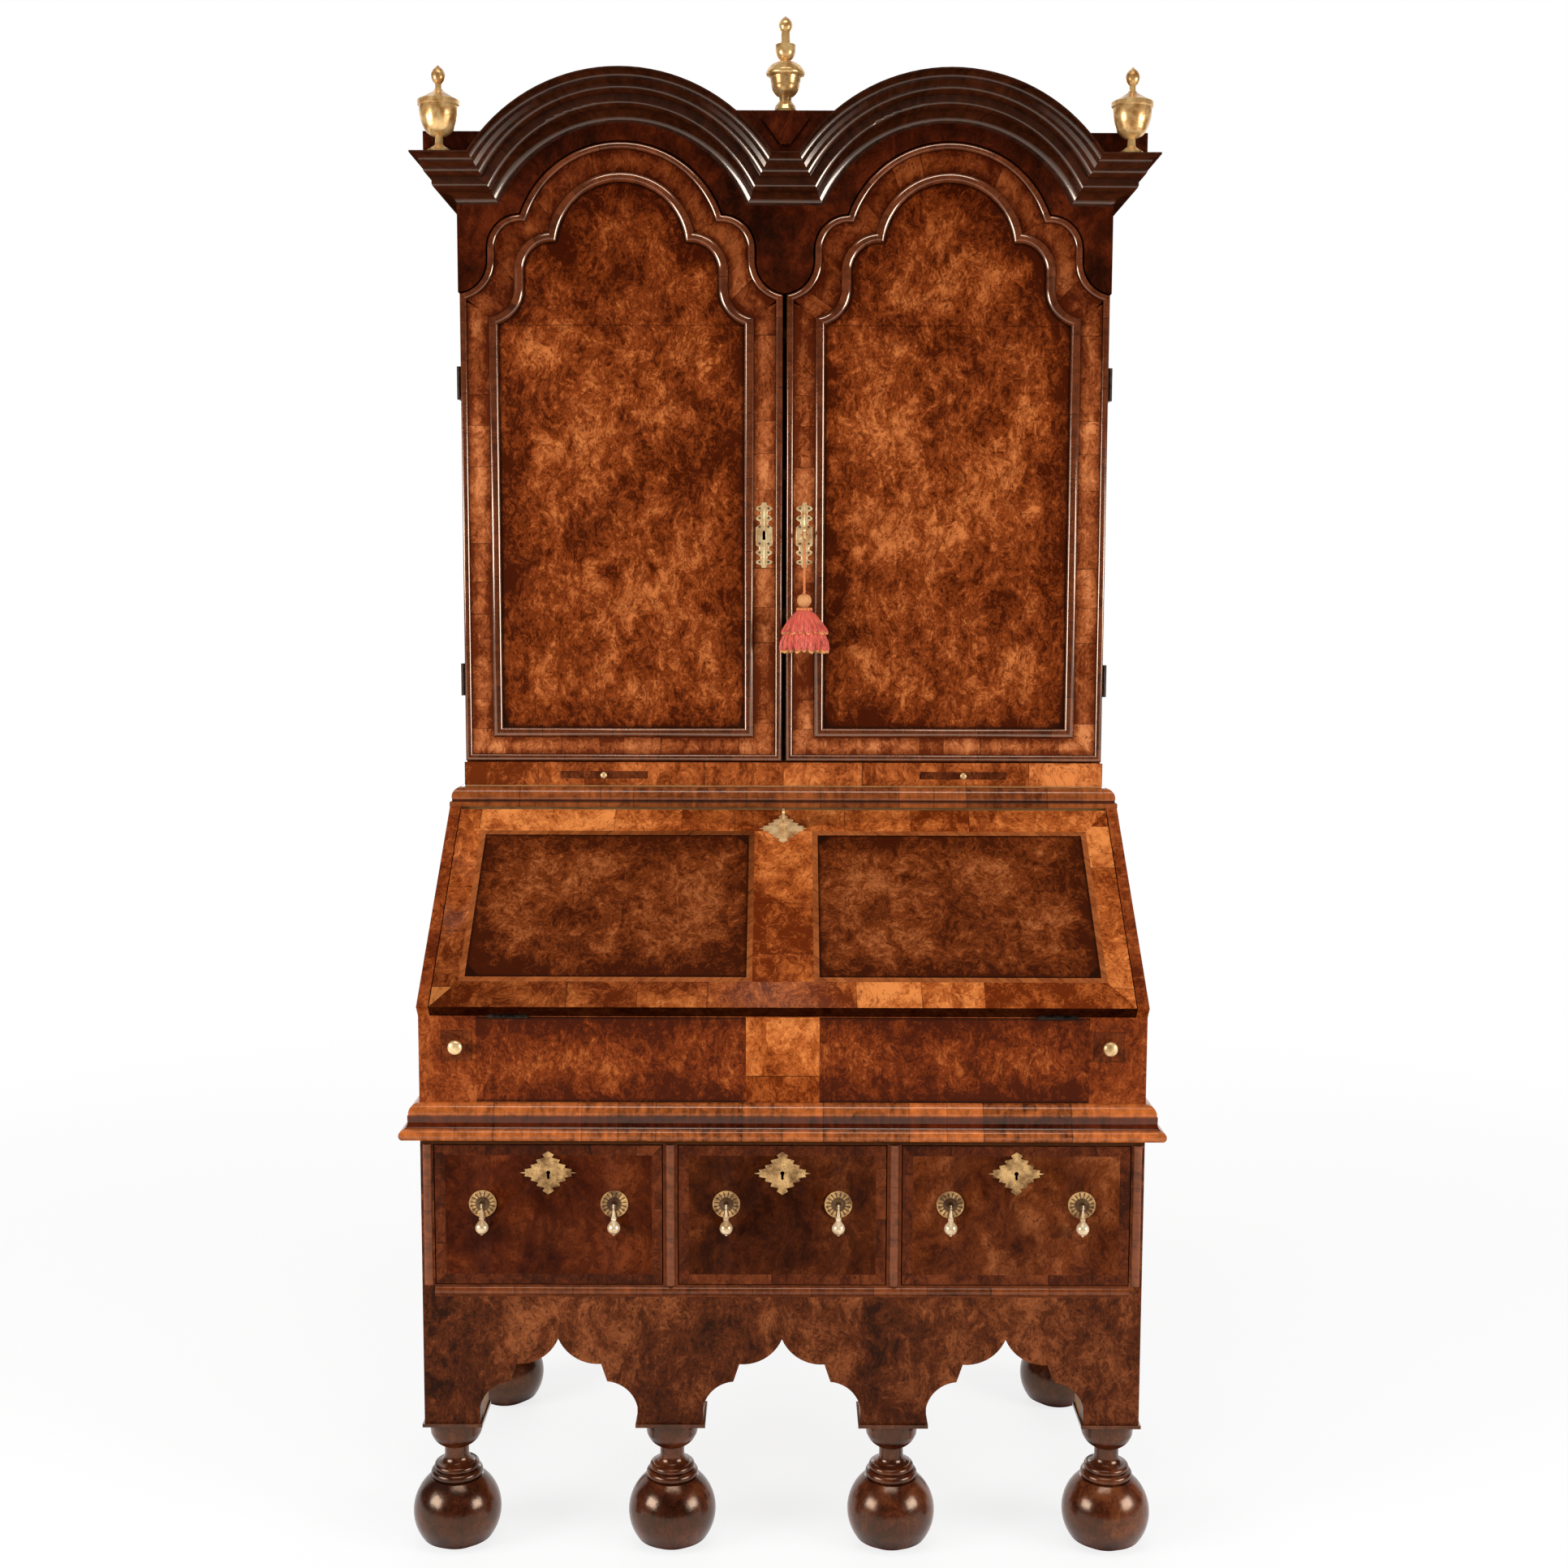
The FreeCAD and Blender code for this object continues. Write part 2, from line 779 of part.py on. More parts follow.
def make_drawer_box(left, right):
    """Two sides, a back and a bottom behind the drawer front, resting on the runners."""
    x_low = left + drawer_gap
    x_high = right - drawer_gap
    y_low = front_y + drawer_front_thickness
    y_high = back_y - stand_back_thickness - drawer_back_gap
    z_low = opening_foot_z + drawer_seat_gap
    z_floor = z_low + drawer_bottom_thickness
    z_high = stand_top_z - drawer_side_drop
    inner_low = x_low + drawer_side_thickness
    inner_high = x_high - drawer_side_thickness
    inner_back = y_high - drawer_side_thickness
    return [
        block((x_low, y_low, z_low), (inner_low, y_high, z_high)),
        block((inner_high, y_low, z_low), (x_high, y_high, z_high)),
        block((inner_low, inner_back, z_low), (inner_high, y_high, z_high)),
        block((inner_low, y_low, z_low), (inner_high, inner_back, z_floor)),
    ]


def make_handle_plate(x):
    """A round plate with a low boss, and a slotted lug that carries the pin of the drop."""
    z = handle_z()
    to_front = V(0, -1, 0)
    plate = Part.makeCylinder(plate_radius, plate_thickness, V(x, front_y, z), to_front)
    boss = Part.makeCylinder(plate_boss_radius, plate_thickness + plate_boss_rise, V(x, front_y, z), to_front)
    pin_y = front_y - pin_reach
    half = lug_width / 2
    lug = block((x - half, pin_y - lug_nose, z - lug_height / 2), (x + half, front_y, z + lug_height / 2))
    slot_half = lug_slot / 2
    slot_back = front_y - plate_thickness - plate_boss_rise
    slot_low = (x - slot_half, pin_y - lug_nose - cut_overrun, z - lug_height)
    slot = block(slot_low, (x + slot_half, slot_back, z + lug_height))
    pin = Part.makeCylinder(drop_pin_radius, lug_width, V(x - half, pin_y, z), V(1, 0, 0))
    return plate.fuse(boss).fuse(lug.cut(slot)).fuse(pin).removeSplitter()


def make_brasses(left, right):
    """One drawer's escutcheon and two handle plates."""
    middle = (left + right) / 2
    z = escutcheon_z()
    points = [(middle + x, z + h) for x, h in diamond(escutcheon_width, escutcheon_height)]
    plate = upright_plate(points, front_y - escutcheon_thickness, front_y)
    plate = plate.cut(keyhole(middle, z, front_y - cut_overrun, front_y + cut_overrun))
    return [plate] + [make_handle_plate(x) for x in handle_places(left, right)]


def make_drop(x):
    """A pear drop whose flat eye turns on the pin of its lug."""
    pin_y = front_y - pin_reach
    z = handle_z()
    half = drop_eye_thickness / 2
    axis = V(1, 0, 0)
    eye = Part.makeCylinder(drop_eye_radius, drop_eye_thickness, V(x - half, pin_y, z), axis)
    ends = [-share * drop_length for share in drop_ball_end_shares]
    neck = scaled_steps(drop_neck_shares, drop_radius, -drop_length)
    ball = ball_steps(drop_radius, -drop_ball_share * drop_length, *ends)
    tip = scaled_steps(drop_tip_shares, drop_radius, -drop_length)
    pear = turned(neck + ball + tip)
    bore_radius = drop_pin_radius + running_clearance
    bore = Part.makeCylinder(bore_radius, lug_width, V(x - lug_width / 2, pin_y, z), axis)
    return eye.fuse(moved(pear, x, pin_y, z)).cut(bore).removeSplitter()


# Hinges: drawn with the pin along X and both leaves lying towards +Y, the moving one on top
def hinge_pair(length, fixed_width, moving_width):
    """The fixed half with its middle knuckle and pin, and the moving half with the two outer knuckles."""
    axis = V(1, 0, 0)
    third = length / 3
    relief = knuckle_radius + hinge_clearance
    middle = Part.makeCylinder(knuckle_radius, third, V(-third / 2, 0, 0), axis)
    room_start = V(-third / 2 - hinge_clearance, 0, 0)
    middle_room = Part.makeCylinder(relief, third + 2 * hinge_clearance, room_start, axis)
    pin = Part.makeCylinder(hinge_pin_radius, length, V(-length / 2, 0, 0), axis)
    end_length = third - hinge_clearance
    end_low = -length / 2
    end_high = length / 2 - end_length
    room_length = third + cut_overrun
    fixed = block((-length / 2, 0, -leaf_thickness), (length / 2, fixed_width, 0))
    fixed = fixed.cut(Part.makeCylinder(relief, room_length, V(-third / 2 - room_length, 0, 0), axis))
    fixed = fixed.cut(Part.makeCylinder(relief, room_length, V(third / 2, 0, 0), axis))
    fixed = fixed.fuse(middle).fuse(pin).removeSplitter()
    moving = block((-length / 2, 0, 0), (length / 2, moving_width, leaf_thickness)).cut(middle_room)
    for start in (end_low, end_high):
        moving = moving.fuse(Part.makeCylinder(knuckle_radius, end_length, V(start, 0, 0), axis))
    bore = Part.makeCylinder(hinge_pin_radius + running_clearance, 2 * length, V(-length, 0, 0), axis)
    return fixed, moving.cut(bore).removeSplitter()


def hinge_room(length):
    """The round space that the knuckles turn in, a little wider than they are."""
    radius = knuckle_radius + hinge_clearance
    full = length + 2 * hinge_clearance
    return Part.makeCylinder(radius, full, V(-full / 2, 0, 0), V(1, 0, 0))


# Bureau
def fall_place(shape):
    """Carries a shape drawn on the flat fall, length along Y and outer face up, to the closed slope."""
    copy = shape.copy()
    copy.rotate(V(0, 0, 0), V(1, 0, 0), fall_slope)
    copy.translate(V(0, front_y, hinge_z))
    return copy


def fall_hinge_parts():
    """Pairs of fixed and moving halves with the room round their knuckles, in place."""
    fixed, moving = hinge_pair(fall_hinge_length, fall_leaf_width, fall_leaf_width)
    room = hinge_room(fall_hinge_length)
    parts = []
    for side in (-1, 1):
        x = side * fall_hinge_x
        parts.append(
            (
                moved(fixed, x, front_y, hinge_z),
                fall_place(moved(moving, x, 0, 0)),
                moved(room, x, front_y, hinge_z),
            )
        )
    return parts


def make_bureau_sides():
    """Bureau sides whose slanted edge lies flush with the closed fall's outer face."""
    slope = radians(fall_slope)
    nose_y = front_y - fall_thickness * sin(slope)
    nose_z = hinge_z + fall_thickness * cos(slope)
    top_y = nose_y + (bureau_top_z - nose_z) / tan(slope)
    outline = (
        (front_y, bureau_foot_z),
        (front_y, hinge_z),
        (nose_y, nose_z),
        (top_y, bureau_top_z),
        (back_y, bureau_top_z),
        (back_y, bureau_foot_z),
    )
    return both_sides(side_plate(outline, bureau_inner_half, stand_half))


def loper_top_z():
    """The top of the lopers, just under the open fall."""
    return hinge_z - fall_thickness - loper_clearance


def make_bureau_front(hinge_parts):
    """The front board as a frame of flush pieces round the two loper slots."""
    slot_low = loper_x - loper_size / 2 - loper_clearance
    slot_high = loper_x + loper_size / 2 + loper_clearance
    slot_foot = loper_top_z() - loper_size - loper_clearance
    slot_head = loper_top_z() + loper_clearance
    back = front_y + bureau_front_thickness
    centre = block((-slot_low, front_y, bureau_foot_z), (slot_low, back, hinge_z))
    ends = (
        block((slot_low, front_y, bureau_foot_z), (bureau_inner_half, back, slot_foot)),
        block((slot_low, front_y, slot_head), (bureau_inner_half, back, hinge_z)),
        block((slot_high, front_y, slot_foot), (bureau_inner_half, back, slot_head)),
    )
    for fixed, moving, room in hinge_parts:
        centre = centre.cut(fixed).cut(room)
    pieces = [centre]
    for end in ends:
        pieces += both_sides(end)
    return pieces


def make_bureau_boards(hinge_parts):
    """Bottom, back, bed, top and the boards that guide the lopers."""
    y_low = front_y + bureau_front_thickness
    y_back = back_y - bureau_back_thickness
    floor_z = bureau_foot_z + bureau_board_thickness
    bed_z = hinge_z - bureau_board_thickness
    lid_z = bureau_top_z - bureau_board_thickness
    inner = bureau_inner_half
    bed = block((-inner, y_low, bed_z), (inner, y_back, hinge_z))
    for fixed, moving, room in hinge_parts:
        bed = bed.cut(fixed)
    boards = [
        block((-inner, y_low, bureau_foot_z), (inner, y_back, floor_z)),
        block((-inner, y_back, bureau_foot_z), (inner, back_y, bureau_top_z)),
        block((-inner, bureau_top_y, lid_z), (inner, y_back, bureau_top_z)),
        bed,
    ]
    slot_low = loper_x - loper_size / 2 - loper_clearance
    slot_high = loper_x + loper_size / 2 + loper_clearance
    slot_foot = loper_top_z() - loper_size - loper_clearance
    guide_back = front_y + loper_length + loper_wall
    boards += both_sides(block((slot_low - loper_wall, y_low, floor_z), (slot_low, guide_back, bed_z)))
    boards += both_sides(block((slot_low, y_low, slot_foot - loper_wall), (inner, guide_back, slot_foot)))
    boards += both_sides(block((slot_high, y_low, slot_foot), (inner, guide_back, bed_z)))
    return boards


def make_pigeonholes():
    """Upright divisions on the bed with a short shelf in each bay."""
    inner = bureau_inner_half
    y_low = upper_y + pigeonhole_recess
    y_high = back_y - bureau_back_thickness
    head_z = bureau_top_z - bureau_board_thickness
    shelf_z = hinge_z + pigeonhole_shelf_height
    bay = 2 * inner / pigeonhole_bays
    half = pigeonhole_board / 2
    boards = []
    for index in range(1, pigeonhole_bays):
        x = -inner + index * bay
        boards.append(block((x - half, y_low, hinge_z), (x + half, y_high, head_z)))
    for index in range(pigeonhole_bays):
        left = -inner + index * bay + (half if index > 0 else 0)
        right = -inner + (index + 1) * bay - (half if index < pigeonhole_bays - 1 else 0)
        boards.append(block((left, y_low, shelf_z), (right, y_high, shelf_z + pigeonhole_board)))
    return boards


def fall_key_y():
    """The lock's place along the fall, measured from the hinge."""
    return fall_length - fall_key_drop


def make_fall_board(hinge_parts):
    """The slanted writing flap, recessed for its hinges and bored for its key."""
    half = bureau_inner_half - fall_side_gap
    board = block((-half, fall_end_gap, 0), (half, fall_length, fall_thickness))
    bore = Part.makeCylinder(keyhole_radius, fall_thickness, V(0, fall_key_y(), 0))
    board = fall_place(board.cut(bore))
    for fixed, moving, room in hinge_parts:
        board = board.cut(moving).cut(room)
    return board


def make_fall_escutcheon():
    """A diamond plate let onto the fall's outer face round its keyhole."""
    points = [(x, fall_key_y() + y) for x, y in diamond(fall_escutcheon_width, fall_escutcheon_height)]
    plate = plan_plate(points, fall_thickness, fall_thickness + escutcheon_thickness)
    bore = Part.makeCylinder(keyhole_radius, 2 * fall_thickness, V(0, fall_key_y(), 0))
    return fall_place(plate.cut(bore))


def make_key(reach):
    """A key standing along +Z from its keyhole at the origin: shank, collar and a flat ring bow."""
    shank_radius = keyhole_radius - running_clearance
    shank = Part.makeCylinder(shank_radius, key_depth + reach, V(0, 0, -key_depth))
    collar = Part.makeCylinder(key_collar_radius, key_collar_length, V(0, 0, reach - key_collar_setback))
    half = key_bow_thickness / 2
    centre_z = reach + key_bow_radius - key_bow_width / 2
    axis = V(1, 0, 0)
    ring = Part.makeCylinder(key_bow_radius, key_bow_thickness, V(-half, 0, centre_z), axis)
    eye_radius = key_bow_radius - key_bow_width
    ring = ring.cut(Part.makeCylinder(eye_radius, key_bow_thickness, V(-half, 0, centre_z), axis))
    return shank.fuse(collar).fuse(ring).removeSplitter()


def make_fall_key():
    """The key in the fall's lock, square to its face."""
    return fall_place(moved(make_key(key_shank_reach), 0, fall_key_y(), fall_thickness))


def make_knob(radius, reach, x, y, z):
    """A small turned knob pointing to the front."""
    return moved(along_y(turned(scaled_steps(knob_profile_shares, radius, reach))), x, y, z)


def make_loper(side):
    """A square bar that slides out under the fall, with a knob at its end."""
    half = loper_size / 2
    x = side * loper_x
    top = loper_top_z()
    bar = block((x - half, front_y, top - loper_size), (x + half, front_y + loper_length, top))
    return [bar, make_knob(loper_knob_radius, loper_knob_reach, x, front_y, top - half)]


# Upper case
def slide_foot_z():
    """The underside of the candle slides."""
    return frieze_z + slide_rise


def door_hinge_parts():
    """The left door's hinge halves and their knuckle rooms, in place at both heights."""
    fixed, moving = hinge_pair(door_hinge_length, side_leaf_width, door_leaf_width)
    room = hinge_room(door_hinge_length)
    turn = FreeCAD.Rotation(V(0, 0, -1), V(0, 1, 0), V(1, 0, 0), "XYZ")
    parts = []
    for share in door_hinge_shares:
        z = door_foot_z + share * door_shoulder_height
        spot = FreeCAD.Placement(V(-upper_half, door_axis_y(), z), turn)
        parts.append(tuple(placed(shape, spot) for shape in (fixed, moving, room)))
    return parts


def placed(shape, spot):
    """A copy of a shape carried by a placement, its own geometry rewritten in place."""
    copy = shape.copy()
    copy.transformShape(spot.toMatrix(), True)
    return copy


def door_axis_y():
    """The hinge line's depth: the knuckles lie just behind the doors' front face."""
    return upper_y + knuckle_radius + hinge_clearance


def make_upper_sides():
    """Upper case sides; the doors' hinge leaves are screwed to their outer faces."""
    return both_sides(block((upper_inner_half, case_y, bureau_top_z), (upper_half, back_y, side_top_z)))


def make_candle_frieze():
    """The frieze under the doors as flush strips round the two slide openings."""
    y_high = upper_y + door_thickness
    slot_low = slide_x - slide_width / 2 - slide_clearance
    slot_high = slide_x + slide_width / 2 + slide_clearance
    slot_foot = slide_foot_z() - slide_clearance
    slot_head = slide_foot_z() + slide_height + slide_clearance
    half = upper_half
    strips = [
        block((-half, upper_y, frieze_z), (half, y_high, slot_foot)),
        block((-half, upper_y, slot_head), (half, y_high, deck_z)),
        block((-slot_low, upper_y, slot_foot), (slot_low, y_high, slot_head)),
    ]
    return strips + both_sides(block((slot_high, upper_y, slot_foot), (half, y_high, slot_head)))


def make_candle_slide(side):
    """A thin board for a candlestick, flush with the frieze, with a small knob."""
    x_low = side * slide_x - slide_width / 2
    z = slide_foot_z()
    board = block((x_low, upper_y, z), (x_low + slide_width, upper_y + slide_length, z + slide_height))
    knob_x = x_low + slide_width / 2
    return [board, make_knob(slide_knob_radius, slide_knob_reach, knob_x, upper_y, z + slide_height / 2)]


def gable_face(y, foot_z):
    """The case's upright section from a foot height up to the roof, with a round dome each side."""
    half = upper_half
    inner_x = dome_offset - vault_spread
    outer_x = dome_offset + vault_spread
    top = dome_z + vault_radius
    steps = [
        ((half, foot_z),),
        ((half, roof_z),),
        ((outer_x, roof_z),),
        ((dome_offset, top), (inner_x, roof_z)),
        ((-inner_x, roof_z),),
        ((-dome_offset, top), (-outer_x, roof_z)),
        ((-half, roof_z),),
    ]
    return filled(path_edges(lambda p: V(p[0], y, p[1]), (-half, foot_z), steps))


def make_upper_boards():
    """Base board, floor, deck, slide guides, shelves and the back with its domed head."""
    inner = upper_inner_half
    y_frieze = upper_y + door_thickness
    y_back = back_y - upper_back_thickness
    floor_z = bureau_top_z + upper_floor_thickness
    slot_foot = slide_foot_z() - slide_clearance
    slot_head = slide_foot_z() + slide_height + slide_clearance
    guide_y = upper_y + slide_length + slide_guide_spare
    slot_low = slide_x - slide_width / 2 - slide_clearance
    slot_high = slide_x + slide_width / 2 + slide_clearance
    boards = [
        block((-upper_half, upper_y, bureau_top_z), (upper_half, y_frieze, frieze_z)),
        block((-inner, case_y, bureau_top_z), (inner, y_back, floor_z)),
        block((-inner, y_frieze, slot_head), (inner, y_back, deck_z)),
    ]
    guide_low = slot_low - slide_guide_width
    guide_high = slot_high + slide_guide_width
    boards += both_sides(block((guide_low, case_y, floor_z), (guide_high, guide_y, slot_foot)))
    boards += both_sides(block((guide_low, case_y, slot_foot), (slot_low, guide_y, slot_head)))
    boards += both_sides(block((slot_high, case_y, slot_foot), (guide_high, guide_y, slot_head)))
    for share in shelf_shares:
        z = door_foot_z + share * door_top_height
        boards.append(block((-inner, case_y + shelf_setback, z), (inner, y_back, z + shelf_thickness)))
    hull = gable_face(y_back, bureau_top_z).extrude(V(0, upper_back_thickness, 0))
    for side in (-1, 1):
        x_low = upper_inner_half if side > 0 else -upper_half
        x_high = x_low + upper_side_thickness
        hull = hull.cut(block((x_low, y_back, bureau_top_z), (x_high, back_y, side_top_z)))
    boards.append(hull)
    return boards


# Doors
def door_edges(y, centre_x, half, foot, shoulder, ear, cusp, top):
    """A shaped-arch outline: straight sides, a cove, a round ear and a cusp each side, and a round arch."""
    radius = door_ear_radius
    diagonal = radius * (1 - sqrt(1 / 2))
    cusp_x = ear - radius
    cove_x = ear + radius
    reach = min(half, cove_x)
    cove_z = shoulder + ear_cove_rise(half, ear)
    start_angle = (pi / 2 - (cove_x - reach) / radius) / 2
    cove_mid = (cove_x - radius * cos(start_angle), cove_z - radius * sin(start_angle))
    ear_mid = (ear - diagonal, cusp - diagonal)
    right = [
        ((half, shoulder),),
        ((reach, shoulder),) if reach < half else None,
        (cove_mid, (ear, cove_z)),
        ((ear, cusp - radius),),
        (ear_mid, (cusp_x, cusp)),
        ((0, top), (-cusp_x, cusp)),
    ]
    left = [
        ((-ear_mid[0], ear_mid[1]), (-ear, cusp - radius)),
        ((-ear, cove_z),),
        ((-cove_mid[0], cove_mid[1]), (-reach, shoulder)),
        ((-half, shoulder),) if reach < half else None,
        ((-half, foot),),
    ]
    steps = [((half, foot),)] + [step for step in right + left if step is not None]
    return path_edges(lambda p: V(centre_x + p[0], y, door_foot_z + p[1]), (0, foot), steps)


def door_ring(y, centre_x):
    """The outline of one door leaf."""
    return door_edges(
        y,
        centre_x,
        door_half,
        0,
        door_shoulder_height,
        door_ear,
        door_cusp_height,
        door_top_height,
    )


def field_ring(y, centre_x):
    """The middle line of the moulding round a door's field."""
    return door_edges(
        y,
        centre_x,
        field_half,
        field_foot_height,
        field_shoulder_height,
        field_ear,
        field_cusp_height,
        field_top_height,
    )


def grown(edges, offset):
    """The face inside a ring of edges grown or shrunk by an offset, with round stretches kept round."""
    return Part.Face(Part.Wire(edges).makeOffset2D(offset, 2, False))


def key_z():
    """The height of the door lock."""
    return door_foot_z + door_key_rise


def make_left_door(hinge_parts):
    """The left door leaf, its outer edge hollowed round the hinge knuckles."""
    board = filled(door_ring(upper_y, -door_x)).extrude(V(0, door_thickness, 0))
    for fixed, moving, room in hinge_parts:
        board = board.cut(room)
    return board


def make_right_door(hinge_parts):
    """The right door leaf: the left one mirrored and bored for the key."""
    board = make_left_door(hinge_parts).mirror(V(0, 0, 0), V(1, 0, 0))
    start = V(door_lock_offset, upper_y, key_z())
    return board.cut(Part.makeCylinder(keyhole_radius, door_thickness, start, V(0, 1, 0)))


def make_door_mouldings(centre_x):
    """The bead round the leaf's edge and the raised moulding round its field."""
    bead = filled(door_ring(upper_y, centre_x)).cut(grown(door_ring(upper_y, centre_x), -door_bead_width))
    half = field_moulding_width / 2
    field = grown(field_ring(upper_y, centre_x), half).cut(grown(field_ring(upper_y, centre_x), -half))
    return [bead.extrude(V(0, -door_bead_rise, 0)), field.extrude(V(0, -field_moulding_rise, 0))]


def make_door_escutcheon(side):
    """A tall pierced plate beside the meeting edge."""
    x = side * door_lock_offset
    half = door_escutcheon_width / 2
    foot_z = key_z() - door_escutcheon_height / 2
    ring = [(across * half, rise * door_escutcheon_height) for across, rise in door_escutcheon_shares]
    right = [(x, foot_z)] + [(x + px, foot_z + pz) for px, pz in ring]
    left = [(x, foot_z + door_escutcheon_height)] + [(x - px, foot_z + pz) for px, pz in reversed(ring)]
    plate = upright_plate(right + left, upper_y - escutcheon_thickness, upper_y)
    return plate.cut(keyhole(x, key_z(), upper_y - cut_overrun, upper_y + cut_overrun))


def make_door_lock():
    """The box lock on the right door's back, behind its keyhole."""
    x = door_lock_offset
    half = door_lock_width / 2
    y_low = upper_y + door_thickness
    z_low = key_z() - door_lock_height / 2
    box = block((x - half, y_low, z_low), (x + half, y_low + door_lock_depth, z_low + door_lock_height))
    return box.cut(keyhole(x, key_z(), y_low - cut_overrun, y_low + door_lock_depth / 2))


# Door key with its tassel
def make_door_key():
    """The key in the right door, its shank long enough for the tassel's loop."""
    key = along_y(make_key(cord_tie_reach + cord_loop_width))
    return moved(key, door_lock_offset, upper_y, key_z())


def make_tassel_cord():
    """A straight cord hanging from the loop that is tied round the key's shank."""
    y = upper_y - cord_tie_reach
    foot_z = key_z() - cord_loop_radius - cord_length
    return Part.makeCylinder(cord_diameter / 2, cord_length, V(door_lock_offset, y, foot_z))


def make_tassel():
    """The loop on the shank, and the round head with two tiers of fringe at the cord's end."""
    y = upper_y - cord_tie_reach
    half = cord_loop_width / 2
    spot = V(door_lock_offset, y - half, key_z())
    loop = Part.makeCylinder(cord_loop_radius, cord_loop_width, spot, V(0, 1, 0))
    loop = loop.cut(Part.makeCylinder(keyhole_radius, cord_loop_width, spot, V(0, 1, 0)))
    head_z = key_z() - cord_loop_radius - cord_length
    body = turned(scaled_steps(tassel_profile_shares, tassel_half_width, -tassel_length))
    flat = FreeCAD.Matrix()
    flat.scale(V(1, tassel_depth_share, 1))
    return [loop, moved(body.transformGeometry(flat), door_lock_offset, y, head_z)]


# Spandrel, cornice, domes
def make_spandrel():
    """The board round the door heads, level with the doors and running up behind the cornice."""
    foot_z = door_foot_z + door_shoulder_height + door_arch_gap
    face = gable_face(upper_y, foot_z)
    for side in (-1, 1):
        face = face.cut(grown(door_ring(upper_y, side * door_x), door_arch_gap))
    return face.extrude(V(0, door_thickness, 0))


def mitre_points():
    """Where the level cornice meets the arched one, from an arch's centre line: foot and head."""
    foot_x = sqrt(dome_inner_radius ** 2 - (cornice_z - dome_z) ** 2)
    head_x = sqrt(dome_outer_radius ** 2 - (cornice_top_z - dome_z) ** 2)
    return foot_x, head_x


def mitre_room(left_centre, right_centre, left_turn, right_turn, y_low, y_high):
    """An upright wedge whose ends lie along the mitres beside two arch centres."""
    foot_x, head_x = mitre_points()
    lean = head_x - foot_x
    low_z = cornice_z - cornice_height
    high_z = cornice_top_z + cornice_height
    points = (
        (left_centre + left_turn * (foot_x - lean), low_z),
        (left_centre + left_turn * (head_x + lean), high_z),
        (right_centre + right_turn * (head_x + lean), high_z),
        (right_centre + right_turn * (foot_x - lean), low_z),
    )
    return upright_plate(points, y_low, y_high)


def make_cornice():
    """Two arched mouldings, the level runs beside and between them, and the runs along the sides."""
    steps = scaled_steps(cornice_shares, cornice_projection, cornice_height)
    y_low = upper_y - cornice_projection - cut_overrun
    y_high = upper_y + cut_overrun
    pieces = []
    for side in (-1, 1):
        centre = side * dome_offset
        place = lambda p: V(centre, upper_y - p[0], dome_z + dome_inner_radius + p[1])
        profile = filled(path_edges(place, (0, 0), steps))
        ring = profile.revolve(V(centre, 0, dome_z), V(0, 1, 0), 360)
        foot_x, head_x = mitre_points()
        lean = head_x - foot_x
        wide = head_x + lean
        points = (
            (centre - foot_x + lean, cornice_z - cornice_height),
            (centre - wide, cornice_top_z + cornice_height),
            (centre - wide, dome_z + 2 * dome_outer_radius),
            (centre + wide, dome_z + 2 * dome_outer_radius),
            (centre + wide, cornice_top_z + cornice_height),
            (centre + foot_x - lean, cornice_z - cornice_height),
        )
        pieces.append(ring.common(upright_plate(points, y_low, y_high)))
    level = front_run(steps, upper_half, upper_y, cornice_z, cornice_projection)
    pieces.append(level.common(mitre_room(-dome_offset, dome_offset, 1, -1, y_low, y_high)))
    far = 2 * stand_width
    corner = mitre_room(dome_offset, far, 1, 1, y_low, y_high)
    pieces += both_sides(level.common(corner))
    pieces += both_sides(side_run(steps, upper_half, upper_y, cornice_z, cornice_projection))
    return pieces


def make_dome_boards():
    """Flat staves bent round each dome from front to back, and level strips beside and between the domes."""
    y_low = upper_y + door_thickness
    y_high = back_y - upper_back_thickness
    inner = vault_radius - vault_thickness
    start = asin((roof_z - dome_z) / inner)
    boards = []
    for side in (-1, 1):
        centre = side * dome_offset
        for index in range(vault_staves):
            step = (pi - 2 * start) / vault_staves
            low = start + index * step
            high = low + step
            spots = ((inner, low), (inner, high), (vault_radius, high), (vault_radius, low))
            points = [(centre + radius * cos(angle), dome_z + radius * sin(angle)) for radius, angle in spots]
            boards.append(upright_plate(points, y_low, y_high))
    reach = inner * cos(start) - strip_lap
    outer_x = dome_offset + reach
    inner_x = dome_offset - reach
    boards += both_sides(block((outer_x, y_low, side_top_z), (upper_half, y_high, roof_z)))
    boards.append(block((-inner_x, y_low, side_top_z), (inner_x, y_high, roof_z)))
    return boards


# Plinth blocks and finials
def dome_room(side):
    """The round space that a dome and its cornice fill."""
    radius = dome_outer_radius + dome_clearance
    start = V(side * dome_offset, upper_y - 2 * cornice_projection, dome_z)
    return Part.makeCylinder(radius, stand_depth, start, V(0, 1, 0))


